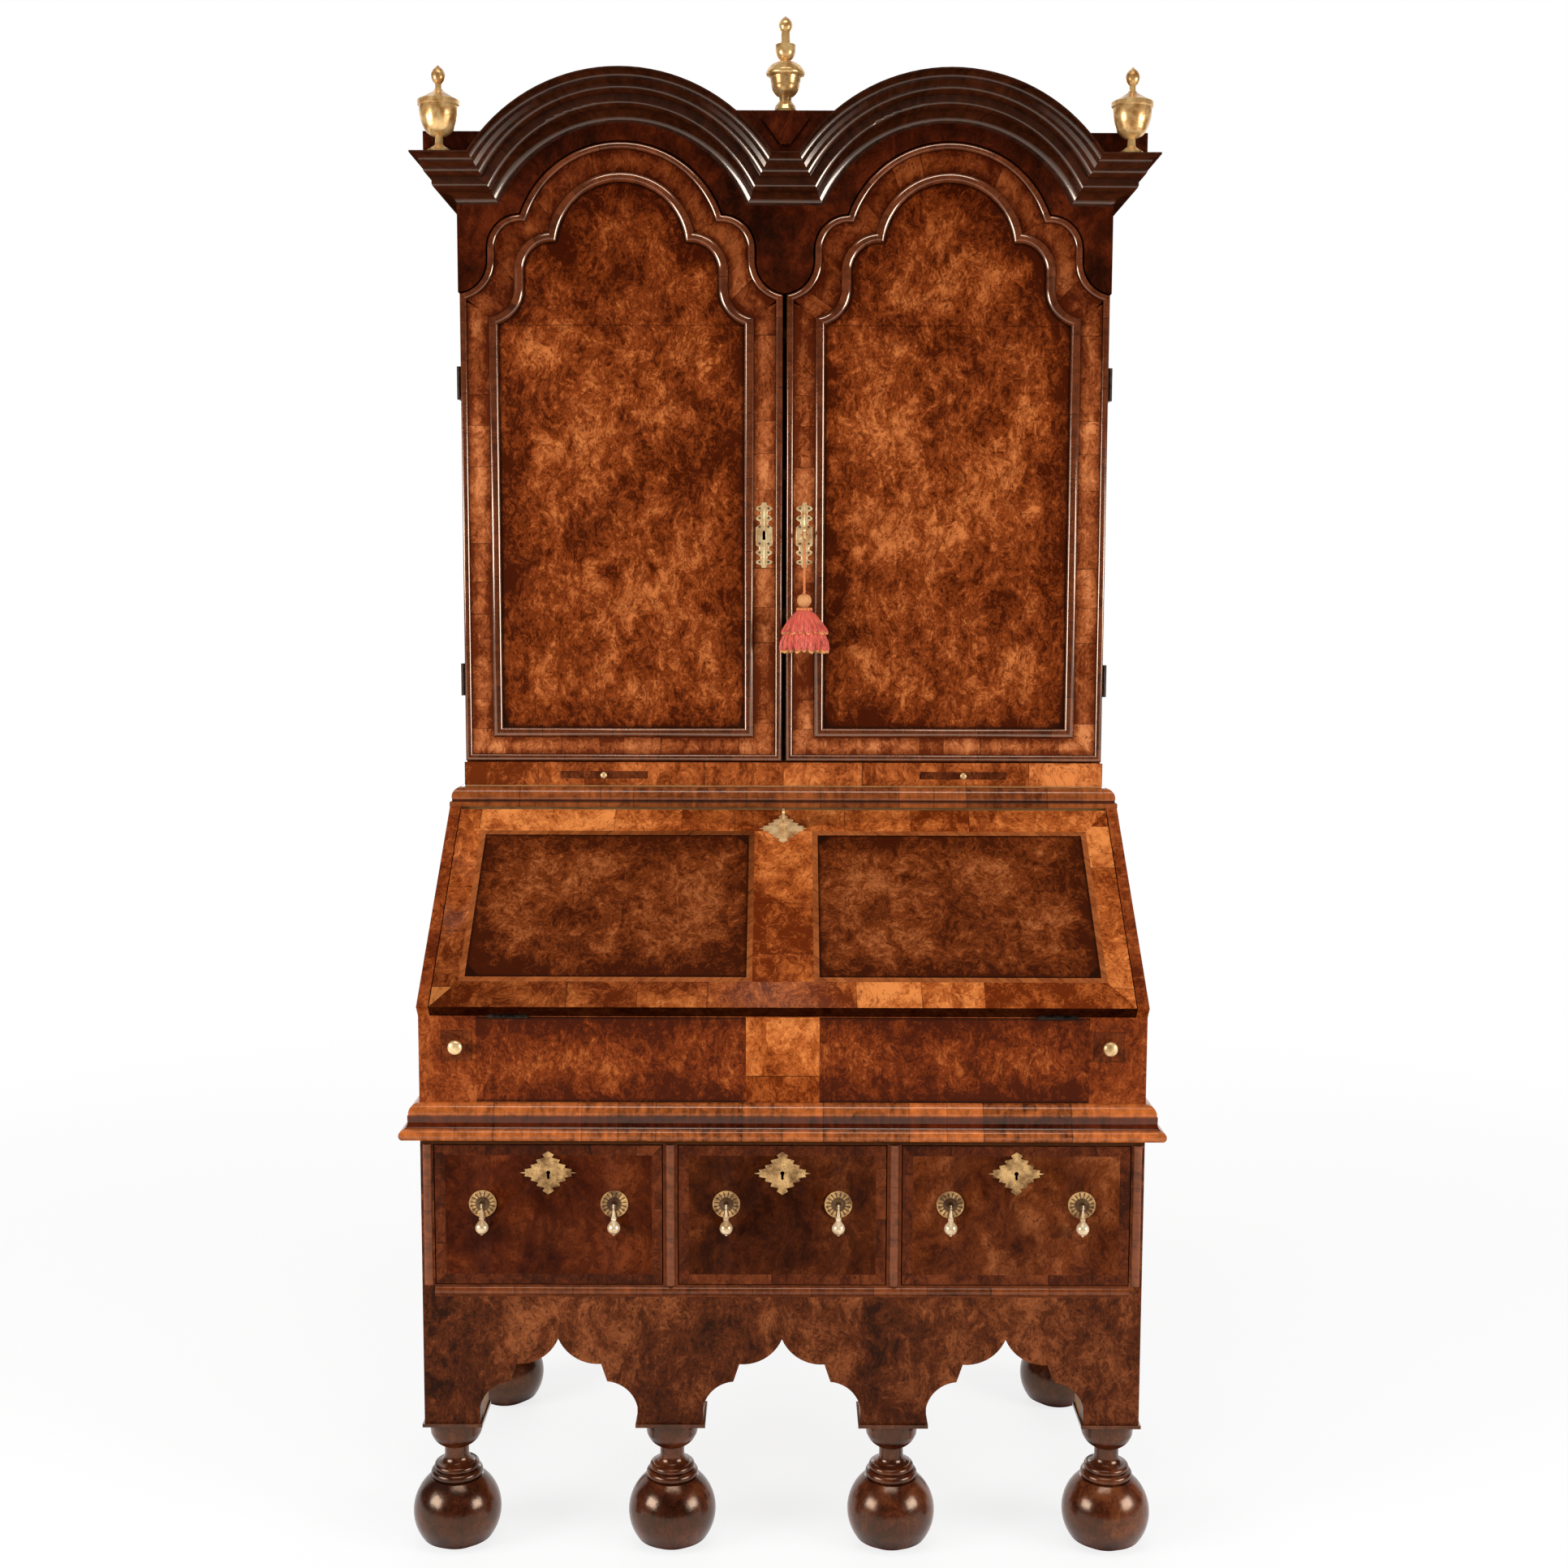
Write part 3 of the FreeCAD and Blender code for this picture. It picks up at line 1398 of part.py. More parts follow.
def make_plinths():
    """The centre plinth with its raised panel between the domes, and a block at each outer corner."""
    half = centre_plinth_width / 2
    face_y = upper_y - centre_plinth_front
    head_z = cornice_top_z + centre_plinth_height
    centre = block((-half, face_y, cornice_top_z), (half, upper_y + centre_plinth_back, head_z))
    for side in (-1, 1):
        centre = centre.cut(dome_room(side))
    top = plinth_panel_top / 2
    foot = plinth_panel_foot / 2
    panel_z = head_z - plinth_panel_drop
    panel_foot = panel_z - plinth_panel_height
    points = ((-top, panel_z), (top, panel_z), (foot, panel_foot), (-foot, panel_foot))
    panel = upright_plate(points, face_y - plinth_panel_rise, face_y)
    reach = cornice_half - corner_plinth_inset
    low = (reach - corner_plinth_width, upper_y - corner_plinth_front, cornice_top_z)
    high = (reach, upper_y + corner_plinth_back, cornice_top_z + corner_plinth_height)
    corner = block(low, high).cut(dome_room(1))
    return [centre, panel] + both_sides(corner)


def make_finials():
    """A tall finial on the centre plinth and an urn on each corner of the cornice."""
    centre = turned(scaled_steps(centre_finial_shares, centre_finial_radius, centre_finial_height))
    side = turned(scaled_steps(side_finial_shares, side_finial_radius, side_finial_height))
    head_z = cornice_top_z + centre_plinth_height
    urn = moved(side, cornice_half - side_finial_inset, upper_y - side_finial_reach, cornice_top_z)
    return [moved(centre, 0, upper_y + centre_finial_setback, head_z)] + both_sides(urn)


# Every node with its solids
fall_hinges = fall_hinge_parts()
door_hinges = door_hinge_parts()
fixed_door_leaves = []
left_door_leaves = []
right_door_leaves = []
for fixed_leaf, moving_leaf, knuckle_room in door_hinges:
    pair = both_sides(moving_leaf)
    fixed_door_leaves += both_sides(fixed_leaf)
    left_door_leaves.append(pair[0])
    right_door_leaves.append(pair[1])

nodes = {
    "feet": make_feet(),
    "leg_collars": make_collars(),
    "leg_blocks": make_leg_blocks(),
    "stand_apron": [make_apron()],
    "stand_sides": make_stand_sides(),
    "stand_boards": make_stand_boards(),
    "drawer_frame": make_drawer_frame(),
    "drawer_beads": make_drawer_beads(),
    "stand_moulding": make_stand_moulding(),
    "bureau_sides": make_bureau_sides(),
    "bureau_front": make_bureau_front(fall_hinges),
    "bureau_boards": make_bureau_boards(fall_hinges),
    "pigeonholes": make_pigeonholes(),
    "fall_hinge_plates": [fixed for fixed, moving, room in fall_hinges],
    "waist_moulding": make_waist_moulding(),
    "upper_sides": make_upper_sides(),
    "upper_boards": make_upper_boards(),
    "candle_frieze": make_candle_frieze(),
    "spandrel_board": [make_spandrel()],
    "cornice_moulding": make_cornice(),
    "dome_boards": make_dome_boards(),
    "plinth_blocks": make_plinths(),
    "finials": make_finials(),
    "door_hinge_plates": fixed_door_leaves,
    "door_left_board": [make_left_door(door_hinges)],
    "door_left_mouldings": make_door_mouldings(-door_x),
    "door_left_hinges": left_door_leaves,
    "door_left_escutcheon": [make_door_escutcheon(-1)],
    "door_right_board": [make_right_door(door_hinges)],
    "door_right_mouldings": make_door_mouldings(door_x),
    "door_right_hinges": right_door_leaves,
    "door_right_escutcheon": [make_door_escutcheon(1)],
    "door_lock": [make_door_lock()],
    "door_key": [make_door_key()],
    "tassel_cord": [make_tassel_cord()],
    "tassel": make_tassel(),
    "fall_board": [make_fall_board(fall_hinges)],
    "fall_hinges": [moving for fixed, moving, room in fall_hinges],
    "fall_escutcheon": [make_fall_escutcheon()],
    "fall_key": [make_fall_key()],
    "loper_left": make_loper(-1),
    "loper_right": make_loper(1),
    "candle_slide_left": make_candle_slide(-1),
    "candle_slide_right": make_candle_slide(1),
}
for name, left, right in openings():
    nodes["drawer_" + name + "_front"] = [make_drawer_front(left, right)]
    nodes["drawer_" + name + "_box"] = make_drawer_box(left, right)
    nodes["drawer_" + name + "_brasses"] = make_brasses(left, right)
    for hand, x in zip(("left", "right"), handle_places(left, right)):
        nodes["drop_" + name + "_" + hand] = [make_drop(x)]

os.makedirs("parts", exist_ok=True)
for name, solids in nodes.items():
    shape = solids[0] if len(solids) == 1 else Part.makeCompound(solids)
    shape.exportStep("parts/" + name + ".step")
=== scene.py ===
from functools import partialmethod
from math import acos, cos, pi, radians, sin

import bmesh
import bpy
import numpy as np
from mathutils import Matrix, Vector


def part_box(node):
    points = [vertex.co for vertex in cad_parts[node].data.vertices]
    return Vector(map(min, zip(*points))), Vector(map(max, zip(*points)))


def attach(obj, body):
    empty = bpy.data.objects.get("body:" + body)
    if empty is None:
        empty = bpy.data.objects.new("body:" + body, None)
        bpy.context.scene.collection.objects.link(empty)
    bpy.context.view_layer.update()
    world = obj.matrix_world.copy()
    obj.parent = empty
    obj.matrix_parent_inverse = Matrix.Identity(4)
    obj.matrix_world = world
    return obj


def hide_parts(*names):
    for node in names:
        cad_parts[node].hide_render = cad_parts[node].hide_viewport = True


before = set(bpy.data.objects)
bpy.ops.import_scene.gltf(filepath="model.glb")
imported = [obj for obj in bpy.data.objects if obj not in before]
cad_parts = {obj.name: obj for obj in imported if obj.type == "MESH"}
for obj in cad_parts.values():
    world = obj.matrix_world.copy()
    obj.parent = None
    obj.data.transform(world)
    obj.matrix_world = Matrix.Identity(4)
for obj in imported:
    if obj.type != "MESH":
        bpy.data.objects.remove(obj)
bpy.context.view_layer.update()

scene = bpy.context.scene

# The studio: a pale floor under a white world, with a large soft box at each side, one overhead and one
# behind. A dark card in front, at the sides and above keeps the white room out of the polish. The camera
# stands where the photograph was taken.
camera_place = (0.0, -2.7735, 1.340)
camera_tilt, camera_roll = 84.3, -0.16
camera_lens, sensor_width = 42.63, 36.0
white = (1.0, 1.0, 1.0, 1.0)
world_fill = (0.26, 0.26, 0.26, 1.0)
floor_half = 7.0
floor_grey = (0.92, 0.92, 0.92, 1.0)
floor_white_near, floor_white_far, floor_white_start = 1.0, 3.2, 0.8
lamp_aim = Vector((0.0, 0.0, 1.0))
lamps = (
    ("lamp_left", (-2.6, -1.60, 1.36), (1.5, 1.1), 74.0),
    ("lamp_right", (2.65, -1.55, 1.32), (1.5, 1.1), 70.0),
    ("lamp_top", (0.0, -1.5, 4.0), (2.2, 0.7), 36.0),
    ("lamp_back", (0.0, 3.2, 2.0), (2.4, 1.6), 42.0),
)
card_black = (0.03, 0.03, 0.03, 1.0)
card_half, card_front, card_back, card_high = 4.5, -4.6, 2.6, 4.6
card_bend = ((card_front, 0.0), (card_front, 3.6), (-3.6, card_high), (0.9, card_high))


class Wire:
    """An output socket in a shader tree. Arithmetic on it adds nodes to that tree."""

    def __init__(self, tree, socket):
        self.tree = tree
        self.socket = socket

    def by(self, operation, *values, kind="Math"):
        """The result of a math node on this and other values."""
        return put(self.tree, kind, enumerate((self, *values)), operation=operation)[0]

    __abs__ = partialmethod(by, "ABSOLUTE")
    __add__ = partialmethod(by, "ADD")
    __sub__ = partialmethod(by, "SUBTRACT")
    __mul__ = partialmethod(by, "MULTIPLY")
    __truediv__ = partialmethod(by, "DIVIDE")

    def __rsub__(self, other):
        return self * -1.0 + other

    def to(self, low, high, start=0.0, end=1.0):
        """This number mapped from low..high to start..end and held there."""
        names = {"Value": self, "From Min": low, "From Max": high, "To Min": start, "To Max": end}
        return put(self.tree, "MapRange", names)["Result"]

    def pick(self, low, high):
        """A number from low, where this one is 0, to high, where it is 1."""
        return put(self.tree, "Mix", {0: self, 2: low, 3: high})[0]

    def blend(self, low, high, way="MIX"):
        """A colour from low, where this number is 0, to high, or to their product, where it is 1."""
        return put(self.tree, "Mix", {0: self, 6: low, 7: high}, data_type="RGBA", blend_type=way)[2]

    def parts(self):
        """The X, Y and Z of this place."""
        return put(self.tree, "SeparateXYZ", {0: self})

    def noise(self, scale, detail, distortion=0.0, roughness=0.5):
        """The value of a noise at this place."""
        sizes = {"Scale": scale, "Detail": detail, "Distortion": distortion, "Roughness": roughness}
        return put(self.tree, "TexNoise", {"Vector": self, **sizes})[0]

    def bump(self, strength, distance):
        """A normal tilted by this height."""
        return put(self.tree, "Bump", {"Strength": strength, "Distance": distance, "Height": self})[0]


class Wires:
    """The outputs of a node in a shader tree, by name or number."""

    def __init__(self, tree, node):
        self.tree = tree
        self.node = node

    def __getitem__(self, key):
        return Wire(self.tree, self.node.outputs[key])


def feed(tree, node, sockets):
    """Sets inputs of a node to values, or links them to wires."""
    for key, value in dict(sockets).items():
        if isinstance(value, Wire):
            tree.links.new(value.socket, node.inputs[key])
        else:
            node.inputs[key].default_value = value


def put(tree, kind, sockets=(), **settings):
    """The outputs of a new shader node with those settings and inputs."""
    node = tree.nodes.new("ShaderNode" + kind)
    for key, value in settings.items():
        setattr(node, key, value)
    feed(tree, node, sockets)
    return Wires(tree, node)


def new_material(name):
    """A material with its node tree and its Principled shader."""
    material = bpy.data.materials.new(name)
    material.use_nodes = True
    return material, material.node_tree, material.node_tree.nodes["Principled BSDF"]


def show(name, data):
    """An object in the scene."""
    thing = bpy.data.objects.new(name, data)
    scene.collection.objects.link(thing)
    return thing


def plain_mesh(name, points, faces, material):
    """A thing of the studio from points and faces."""
    mesh = bpy.data.meshes.new(name)
    mesh.from_pydata(points, [], faces)
    mesh.materials.append(material)
    return show(name, mesh)


def looked_at(tree):
    """1 for rays from the camera or by way of a gloss or glass, 0 for those that only bring light."""
    ray = put(tree, "LightPath")
    seen = ray["Is Camera Ray"].by("MAXIMUM", ray["Is Glossy Ray"])
    return seen.by("MAXIMUM", ray["Is Transmission Ray"])


camera = show("camera", bpy.data.cameras.new("camera"))
camera.data.sensor_width = sensor_width
camera.data.lens = camera_lens
camera.location = camera_place
camera.rotation_euler = (radians(camera_tilt), radians(camera_roll), 0.0)
scene.camera = camera

scene.world = bpy.data.worlds.new("studio")
scene.world.use_nodes = True
tree = scene.world.node_tree
feed(tree, tree.nodes["Background"], {"Color": looked_at(tree).blend(world_fill, white)})

for name, place, size, power in lamps:
    lamp = show(name, bpy.data.lights.new(name, "AREA"))
    lamp.data.shape = "RECTANGLE"
    lamp.data.size, lamp.data.size_y = size
    lamp.data.energy = power
    lamp.location = place
    lamp.rotation_euler = (lamp_aim - Vector(place)).to_track_quat("-Z", "Y").to_euler()

floor_paint, tree, shader = new_material("floor_paint")
feed(tree, shader, {"Base Color": floor_grey, "Roughness": 0.7})
reach = put(tree, "VectorMath", {0: put(tree, "TexCoord")["Object"]}, operation="LENGTH")["Value"]
whiten = reach.to(floor_white_near, floor_white_far, floor_white_start) * looked_at(tree)
paint = put(tree, "MixShader", {0: whiten, 1: Wire(tree, shader.outputs[0]), 2: put(tree, "Emission")[0]})
feed(tree, tree.nodes["Material Output"], {"Surface": paint[0]})
corners = [(x * floor_half, y * floor_half, 0) for x, y in ((-1, -1), (1, -1), (1, 1), (-1, 1))]
floor = plain_mesh("floor", corners, [(0, 1, 2, 3)], floor_paint)

bend = np.array(card_bend)
wing = np.array([(y, z) for z in (0.0, card_high) for y in (card_front, card_back)])
rows = [np.insert(edge, 0, x, 1) for edge in (bend, wing) for x in (-card_half, card_half)]
count = len(bend)
sheets = [(i, i + 1, count + i + 1, count + i) for i in range(count - 1)]
sheets += [(i, i + 1, i + 3, i + 2) for i in (2 * count, 2 * count + len(wing))]
card_paint, tree, shader = new_material("card_paint")
feed(tree, shader, {"Base Color": card_black, "Roughness": 0.9})
card = plain_mesh("dark_card", np.vstack(rows).tolist(), sheets, card_paint)
card.visible_camera = card.visible_diffuse = card.visible_transmission = card.visible_shadow = False
scene.view_settings.view_transform = "Standard"

# The feet: six turned walnut balls with rings and a flared neck, stained dark and waxed, tenoned
# into the leg blocks. The same dark stain is on the collars above them.
wax_glow = (1.0, 0.84, 0.70, 1.0)
foot_glow = (1.0, 0.70, 0.50, 1.0)
underside, upright = -0.55, -0.30


def tint(red, green, blue):
    """A colour written as 0 to 255 display values, as the linear colour that shaders take."""
    display = np.array([red, green, blue]) / 255
    linear = np.where(display <= 0.04045, display / 12.92, ((display + 0.055) / 1.055) ** 2.4)
    return (*linear.tolist(), 1.0)


def make_group(name, takes, gives):
    """A node group with those sockets, what it is given, and the node that takes its results."""
    group = bpy.data.node_groups.new(name, "ShaderNodeTree")
    for side, sockets in (("INPUT", takes), ("OUTPUT", gives)):
        for label, kind in sockets.items():
            group.interface.new_socket(label, in_out=side, socket_type="NodeSocket" + kind)
    return group, Wires(group, group.nodes.new("NodeGroupInput")), group.nodes.new("NodeGroupOutput")


tones = {"Dark": "Color", "Middle": "Color", "Light": "Color"}
burr, given, result = make_group(
    "burr_figure",
    {"Vector": "Vector", "Place": "Vector", "Rim": "Float", "Lift": "Float", "Fine": "Float", **tones},
    {"Color": "Color", "Height": "Float"},
)
sway = put(burr, "TexNoise", {"Vector": given["Place"], "Scale": 16.0, "Detail": 3.0})["Color"]
sway = sway.by("SUBTRACT", (0.5, 0.5, 0.5), kind="VectorMath")
place = sway.by("MULTIPLY_ADD", (0.045, 0.045, 0.03), given["Place"], kind="VectorMath")
place = place.by("MULTIPLY", (1.0, 1.0, 0.66), kind="VectorMath")
patina = given["Place"].noise(5.5, 4.0, 0.4)
mottle = place.noise(78.0, 6.0, 0.9, 0.68)
speck = place.noise(360.0, 3.0, 0.9)
coarse = given["Vector"].noise(10.0, 4.0) * 0.3 + patina * 0.5 + place.noise(27.0, 3.0, 0.7) * 0.56 - 0.68
fine = mottle + speck * 0.6 - 0.8
tone = fine * given["Fine"] + coarse * (2.0 - given["Fine"]) + given["Lift"] + 1.6
# Painted shade: near a leaf's rim the figure darkens, as the shade next to its moulding or border.
tone = tone - given["Rim"].to(0.0, 0.05, 0.24, 0.0) * (patina + 0.4)
tone = tone.to(1.375, 1.855)
shade = tone.to(0.0, 0.5).blend(given["Dark"], given["Middle"])
shade = tone.to(0.5, 1.0).blend(shade, given["Light"])
vein = abs(place.noise(30.0, 5.0, 0.8) - 0.5)
shade = vein.to(0.0, 0.016, 0.55, 0.0).blend(shade, given["Dark"])
eye = put(burr, "TexVoronoi", {"Vector": place, "Scale": 140.0})
rare = put(burr, "SeparateColor", {0: eye["Color"]})[0].to(0.6, 0.64)
shade = (rare * eye["Distance"].to(0.1, 0.3, 0.75, 0.0)).blend(shade, given["Dark"])
# Painted shade and dirt: a near-black line along the first few millimetres of the rim.
shade = given["Rim"].to(0.0008, 0.0048, 0.8, 0.0).blend(shade, tint(24, 8, 3))
feed(burr, result, {"Color": shade, "Height": mottle + speck})

polish, given, result = make_group(
    "hand_polish", {"Vector": "Vector", "Roughness": "Float"}, {"Roughness": "Float"}
)
smear, dust = given["Vector"].noise(9.0, 4.0), given["Vector"].noise(85.0, 2.0)
feed(polish, result, {"Roughness": given["Roughness"] + smear * 0.22 + dust * 0.08 - 0.15})


def waxed(name, figure, roughness=0.34, relief=0.2, shine=0.08, grime_and_shade=0.0, index=1.6, glow=wax_glow):
    """A waxed wood; figure takes the texture places and gives colour and height. Shine is how bright its
    warm polish is, which undersides never had, and grime the reach of an ambient occlusion that darkens the
    hollows: painted shade there, together with the old wax and dirt that settle in them."""
    material, tree, shader = new_material(name)
    at = put(tree, "TexCoord")
    colour, height = figure(at)
    if grime_and_shade:
        # Painted shade: where ambient occlusion finds a hollow, the colour goes dark brown, standing in for
        # the shade there as well as for settled dirt.
        hollow = put(tree, "AmbientOcclusion", {"Distance": grime_and_shade}, only_local=True, samples=8)["AO"]
        colour = hollow.to(0.3, 0.82, 0.85, 0.0).blend(colour, tint(22, 8, 4))
    upward = put(tree, "NewGeometry")["Normal"].parts()[2]
    sockets = {
        "Base Color": colour,
        "Roughness": put(tree, "Group", {0: at["Object"], 1: roughness}, node_tree=polish)[0],
        "Normal": height.bump(relief, 0.0005),
        "IOR": index,
        "Specular IOR Level": upward.to(underside, upright, 0.0, shine),
        "Specular Tint": glow,
    }
    feed(tree, shader, sockets)
    return material


def burr_of(space, dark, middle, light, rim=False, fine=1.0):
    """A figure of burr in three tones, placed by the object's own place or by a leaf's UV. A leaf with a rim
    attribute, the way in from its edge, is darker along that edge: broad, soft painted shade, with a dark
    line of painted shade and dirt at the edge itself. Below 1, fine makes the figure softer."""
    def figure(at):
        way_in = put(at.tree, "Attribute", attribute_name="rim")["Fac"] if rim else 1.0
        values = (at[space], at["Object"], way_in, 0.0, fine, tint(*dark), tint(*middle), tint(*light))
        return put(at.tree, "Group", enumerate(values), node_tree=burr)
    return figure


def dress(material, *nodes):
    """Gives CAD nodes a material in every slot."""
    for node in nodes:
        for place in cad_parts[node].material_slots:
            place.material = material


figure = burr_of("Object", (36, 13, 5), (70, 30, 14), (104, 54, 27), fine=0.6)
turned_wood = waxed("turned_wood", figure, 0.2, shine=0.5, grime_and_shade=0.012, glow=foot_glow)
dress(turned_wood, "feet", "leg_collars")

# The stand: an arched apron and sides of dark veneered walnut round oak blocks and boards, with a
# walnut rail and partitions between the drawers.
plank_width = 0.19
back_inside, back_shift = 0.262, 0.06
front_face, behind_front = -0.2726, -0.2720
apron_foot, apron_middle = 0.19, 0.34
joints, given, result = make_group(
    "short_lengths", {"Run": "Float", "Segment": "Float"}, {"Leaf": "Float", "Tone": "Float", "Seam": "Float"}
)
step = given["Run"] / given["Segment"]
step = step + (step * 2.1).by("SINE") * 0.3 + (step * 5.3).by("SINE") * 0.06
leaf, part = step.by("FLOOR"), step.by("FRACT")
tone = put(joints, "TexWhiteNoise", {"W": leaf}, noise_dimensions="1D")["Value"]
seam = (part.by("MINIMUM", 1.0 - part) * given["Segment"]).to(0.0003, 0.0011, 0.6, 0.0)
feed(joints, result, {"Leaf": leaf, "Tone": tone, "Seam": seam})

grain, given, result = make_group(
    "cross_grain",
    {"Run": "Float", "Vector": "Vector", "Leaf": "Float", "Tone": "Float", "Dark": "Color", "Light": "Color"},
    {"Color": "Color", "Height": "Float"},
)
lie = put(grain, "CombineXYZ", {0: given["Run"] * 110.0, 1: given["Leaf"] * 7.3})[0]
streak = given["Vector"].by("MULTIPLY_ADD", (18.0, 18.0, 18.0), lie, kind="VectorMath").noise(1.0, 4.0, 0.5)
mood = streak * 0.45 + given["Tone"] * 0.2 + given["Vector"].noise(64.0, 6.0, 0.6, 0.66) * 0.85
shade = mood.to(0.48, 1.02).blend(given["Dark"], given["Light"])
feed(grain, result, {"Color": shade, "Height": streak * 0.3})


def seamed(figure, seam):
    """Colour and height of a figure, with the dark, sunk seams between its pieces."""
    return seam.blend(figure[0], tint(26, 9, 4)), figure[1] - seam


def across(run, dark, light, segment, space="Object"):
    """A figure of cross-grain pieces; run takes the x, y, z of the place and gives the way along."""
    def figure(at):
        way = run(*at[space].parts())
        piece = put(at.tree, "Group", {0: way, 1: segment}, node_tree=joints)
        values = (way, at["Object"], piece["Leaf"], piece["Tone"], tint(*dark), tint(*light))
        return seamed(put(at.tree, "Group", enumerate(values), node_tree=grain), piece["Seam"])
    return figure


def pieced(run, dark, middle, light, segment, contrast, space="UV", rim=False):
    """A figure of burr laid in short lengths whose tones differ by the contrast. With rim, V is the way in
    from the band's edges, which are darker: painted shade and dirt."""
    def figure(at):
        spot = at[space].parts()
        piece = put(at.tree, "Group", {0: run(*spot), 1: segment}, node_tree=joints)
        lift = (piece["Tone"] - 0.5) * contrast
        shift = put(at.tree, "CombineXYZ", {1: piece["Leaf"] * 0.37})[0]
        place = at["Object"].by("ADD", shift, kind="VectorMath")
        way_in = spot[1] * 4.0 if rim else 1.0
        values = (place, place, way_in, lift, 0.85, tint(*dark), tint(*middle), tint(*light))
        return seamed(put(at.tree, "Group", enumerate(values), node_tree=burr), piece["Seam"])
    return figure


def stain_and_shade(figure, mask, darkening):
    """A figure multiplied by a darkening colour; mask takes the x, y, z of the place and gives its strength.
    It serves for real stain and for painted shade.
    """
    def darkened(at):
        colour, height = figure(at)
        return mask(*at["Object"].parts()).blend(colour, (*darkening, 1.0), "MULTIPLY"), height
    return darkened


def by_height(low, high, start=1.0, end=0.0):
    """A mask that goes from start to end between two heights."""
    return lambda x, y, z: z.to(low, high, start, end)


def planks(x, y, z):
    """Way across the oak boards: X on the backs, which are of upright planks, Y on level boards and Z on
    the other upright ones."""
    facing = put(x.tree, "NewGeometry")["Normal"].parts()[2]
    across_way = abs(facing).to(0.45, 0.55).pick(z, y)
    return y.to(back_inside, back_inside + 0.001).pick(across_way, x + back_shift)


oak = across(planks, (118, 80, 46), (168, 124, 78), plank_width)
oak_boards = waxed("oak_boards", oak, 0.55)
# The front edges of the stand boards under the stand moulding are multiplied dark: partly the colour of a
# walnut rail and partly painted shade under the moulding.
figure = stain_and_shade(oak, lambda x, y, z: y.to(front_face, behind_front, 1.0, 0.0), (0.20, 0.11, 0.06))
oak_dark_front = waxed("oak_dark_front", figure, 0.5)
figure = burr_of("Object", (38, 13, 3), (86, 38, 14), (138, 76, 40), fine=0.75)
# Painted shade: the apron is multiplied darker towards its foot, as the lamps' light falls off low down.
figure = stain_and_shade(figure, by_height(apron_foot, apron_middle), (0.66, 0.60, 0.56))
stand_veneer = waxed("stand_veneer", figure, 0.32)
frame_veneer = waxed("frame_veneer", across(lambda x, y, z: x + z, (64, 26, 10), (112, 54, 24), 0.085))
dress(stand_veneer, "stand_apron", "stand_sides")
dress(oak_dark_front, "stand_boards")
dress(oak_boards, "leg_blocks", "bureau_boards", "dome_boards", "upper_boards", "pigeonholes")
dress(frame_veneer, "drawer_frame")

# The beads round the drawer openings: half-round cross-grain walnut strips glued to the rail, the
# partitions and the stiles.
level_bead_height = 0.012
bead_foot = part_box("drawer_beads")[0].z + level_bead_height


def up_or_level(x, y, z):
    """Way along the beads: X on the lowest one, which is level, and Z on the upright ones above it."""
    return z.to(bead_foot, bead_foot + 0.0005).pick(x, z)


figure = across(up_or_level, (60, 22, 6), (132, 65, 28), 0.055)
bead_light = waxed("bead_light", figure, 0.18, shine=0.4, grime_and_shade=0.006)
dress(bead_light, "drawer_beads")

# The drawers: walnut-veneered fronts with a crossbanded border round two mirrored burr leaves, a
# keyhole on their joint, and oak boxes behind. A cut is where in the burr a leaf or strip is taken.
drawer_border = 0.014
leaf_thickness = 0.0003
keyhole_radius, keyhole_slot_half, keyhole_slot_length = 0.003, 0.0017, 0.009
keyhole_z = 0.550
leaf_cut, border_cut, strip_cut = np.array((0.6, 0.9)), 1.3, 0.37
drawer_tones = {
    "drawer_left": ((46, 12, 3), (76, 28, 7), (110, 50, 20)),
    "drawer_centre": ((40, 12, 3), (72, 29, 8), (108, 53, 23)),
    "drawer_right": ((56, 19, 5), (98, 44, 16), (142, 79, 42)),
}


def solid(name, points, faces, material, body, slot, lay=None, crease=35.0, rim=()):
    """A closed mesh from points and faces, with its faces turned outward, one UV pair per face corner, and
    where rim is given, each point's way in from the leaf's edge."""
    mesh = bpy.data.meshes.new(name)
    mesh.from_pydata(np.asarray(points).tolist(), [], faces)
    if lay is not None:
        mesh.uv_layers.new(name="lay").data.foreach_set("uv", np.asarray(lay, np.float32).ravel())
    if len(rim):
        mesh.attributes.new("rim", "FLOAT", "POINT").data.foreach_set("value", np.asarray(rim, np.float32))
    form = bmesh.new()
    form.from_mesh(mesh)
    bmesh.ops.remove_doubles(form, verts=form.verts, dist=1e-7)
    bmesh.ops.recalc_face_normals(form, faces=form.faces)
    form.to_mesh(mesh)
    form.free()
    mesh.shade_smooth()
    mesh.set_sharp_from_angle(angle=radians(crease))
    mesh.materials.append(material)
    piece = show(name, mesh)
    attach(piece, body)
    return piece


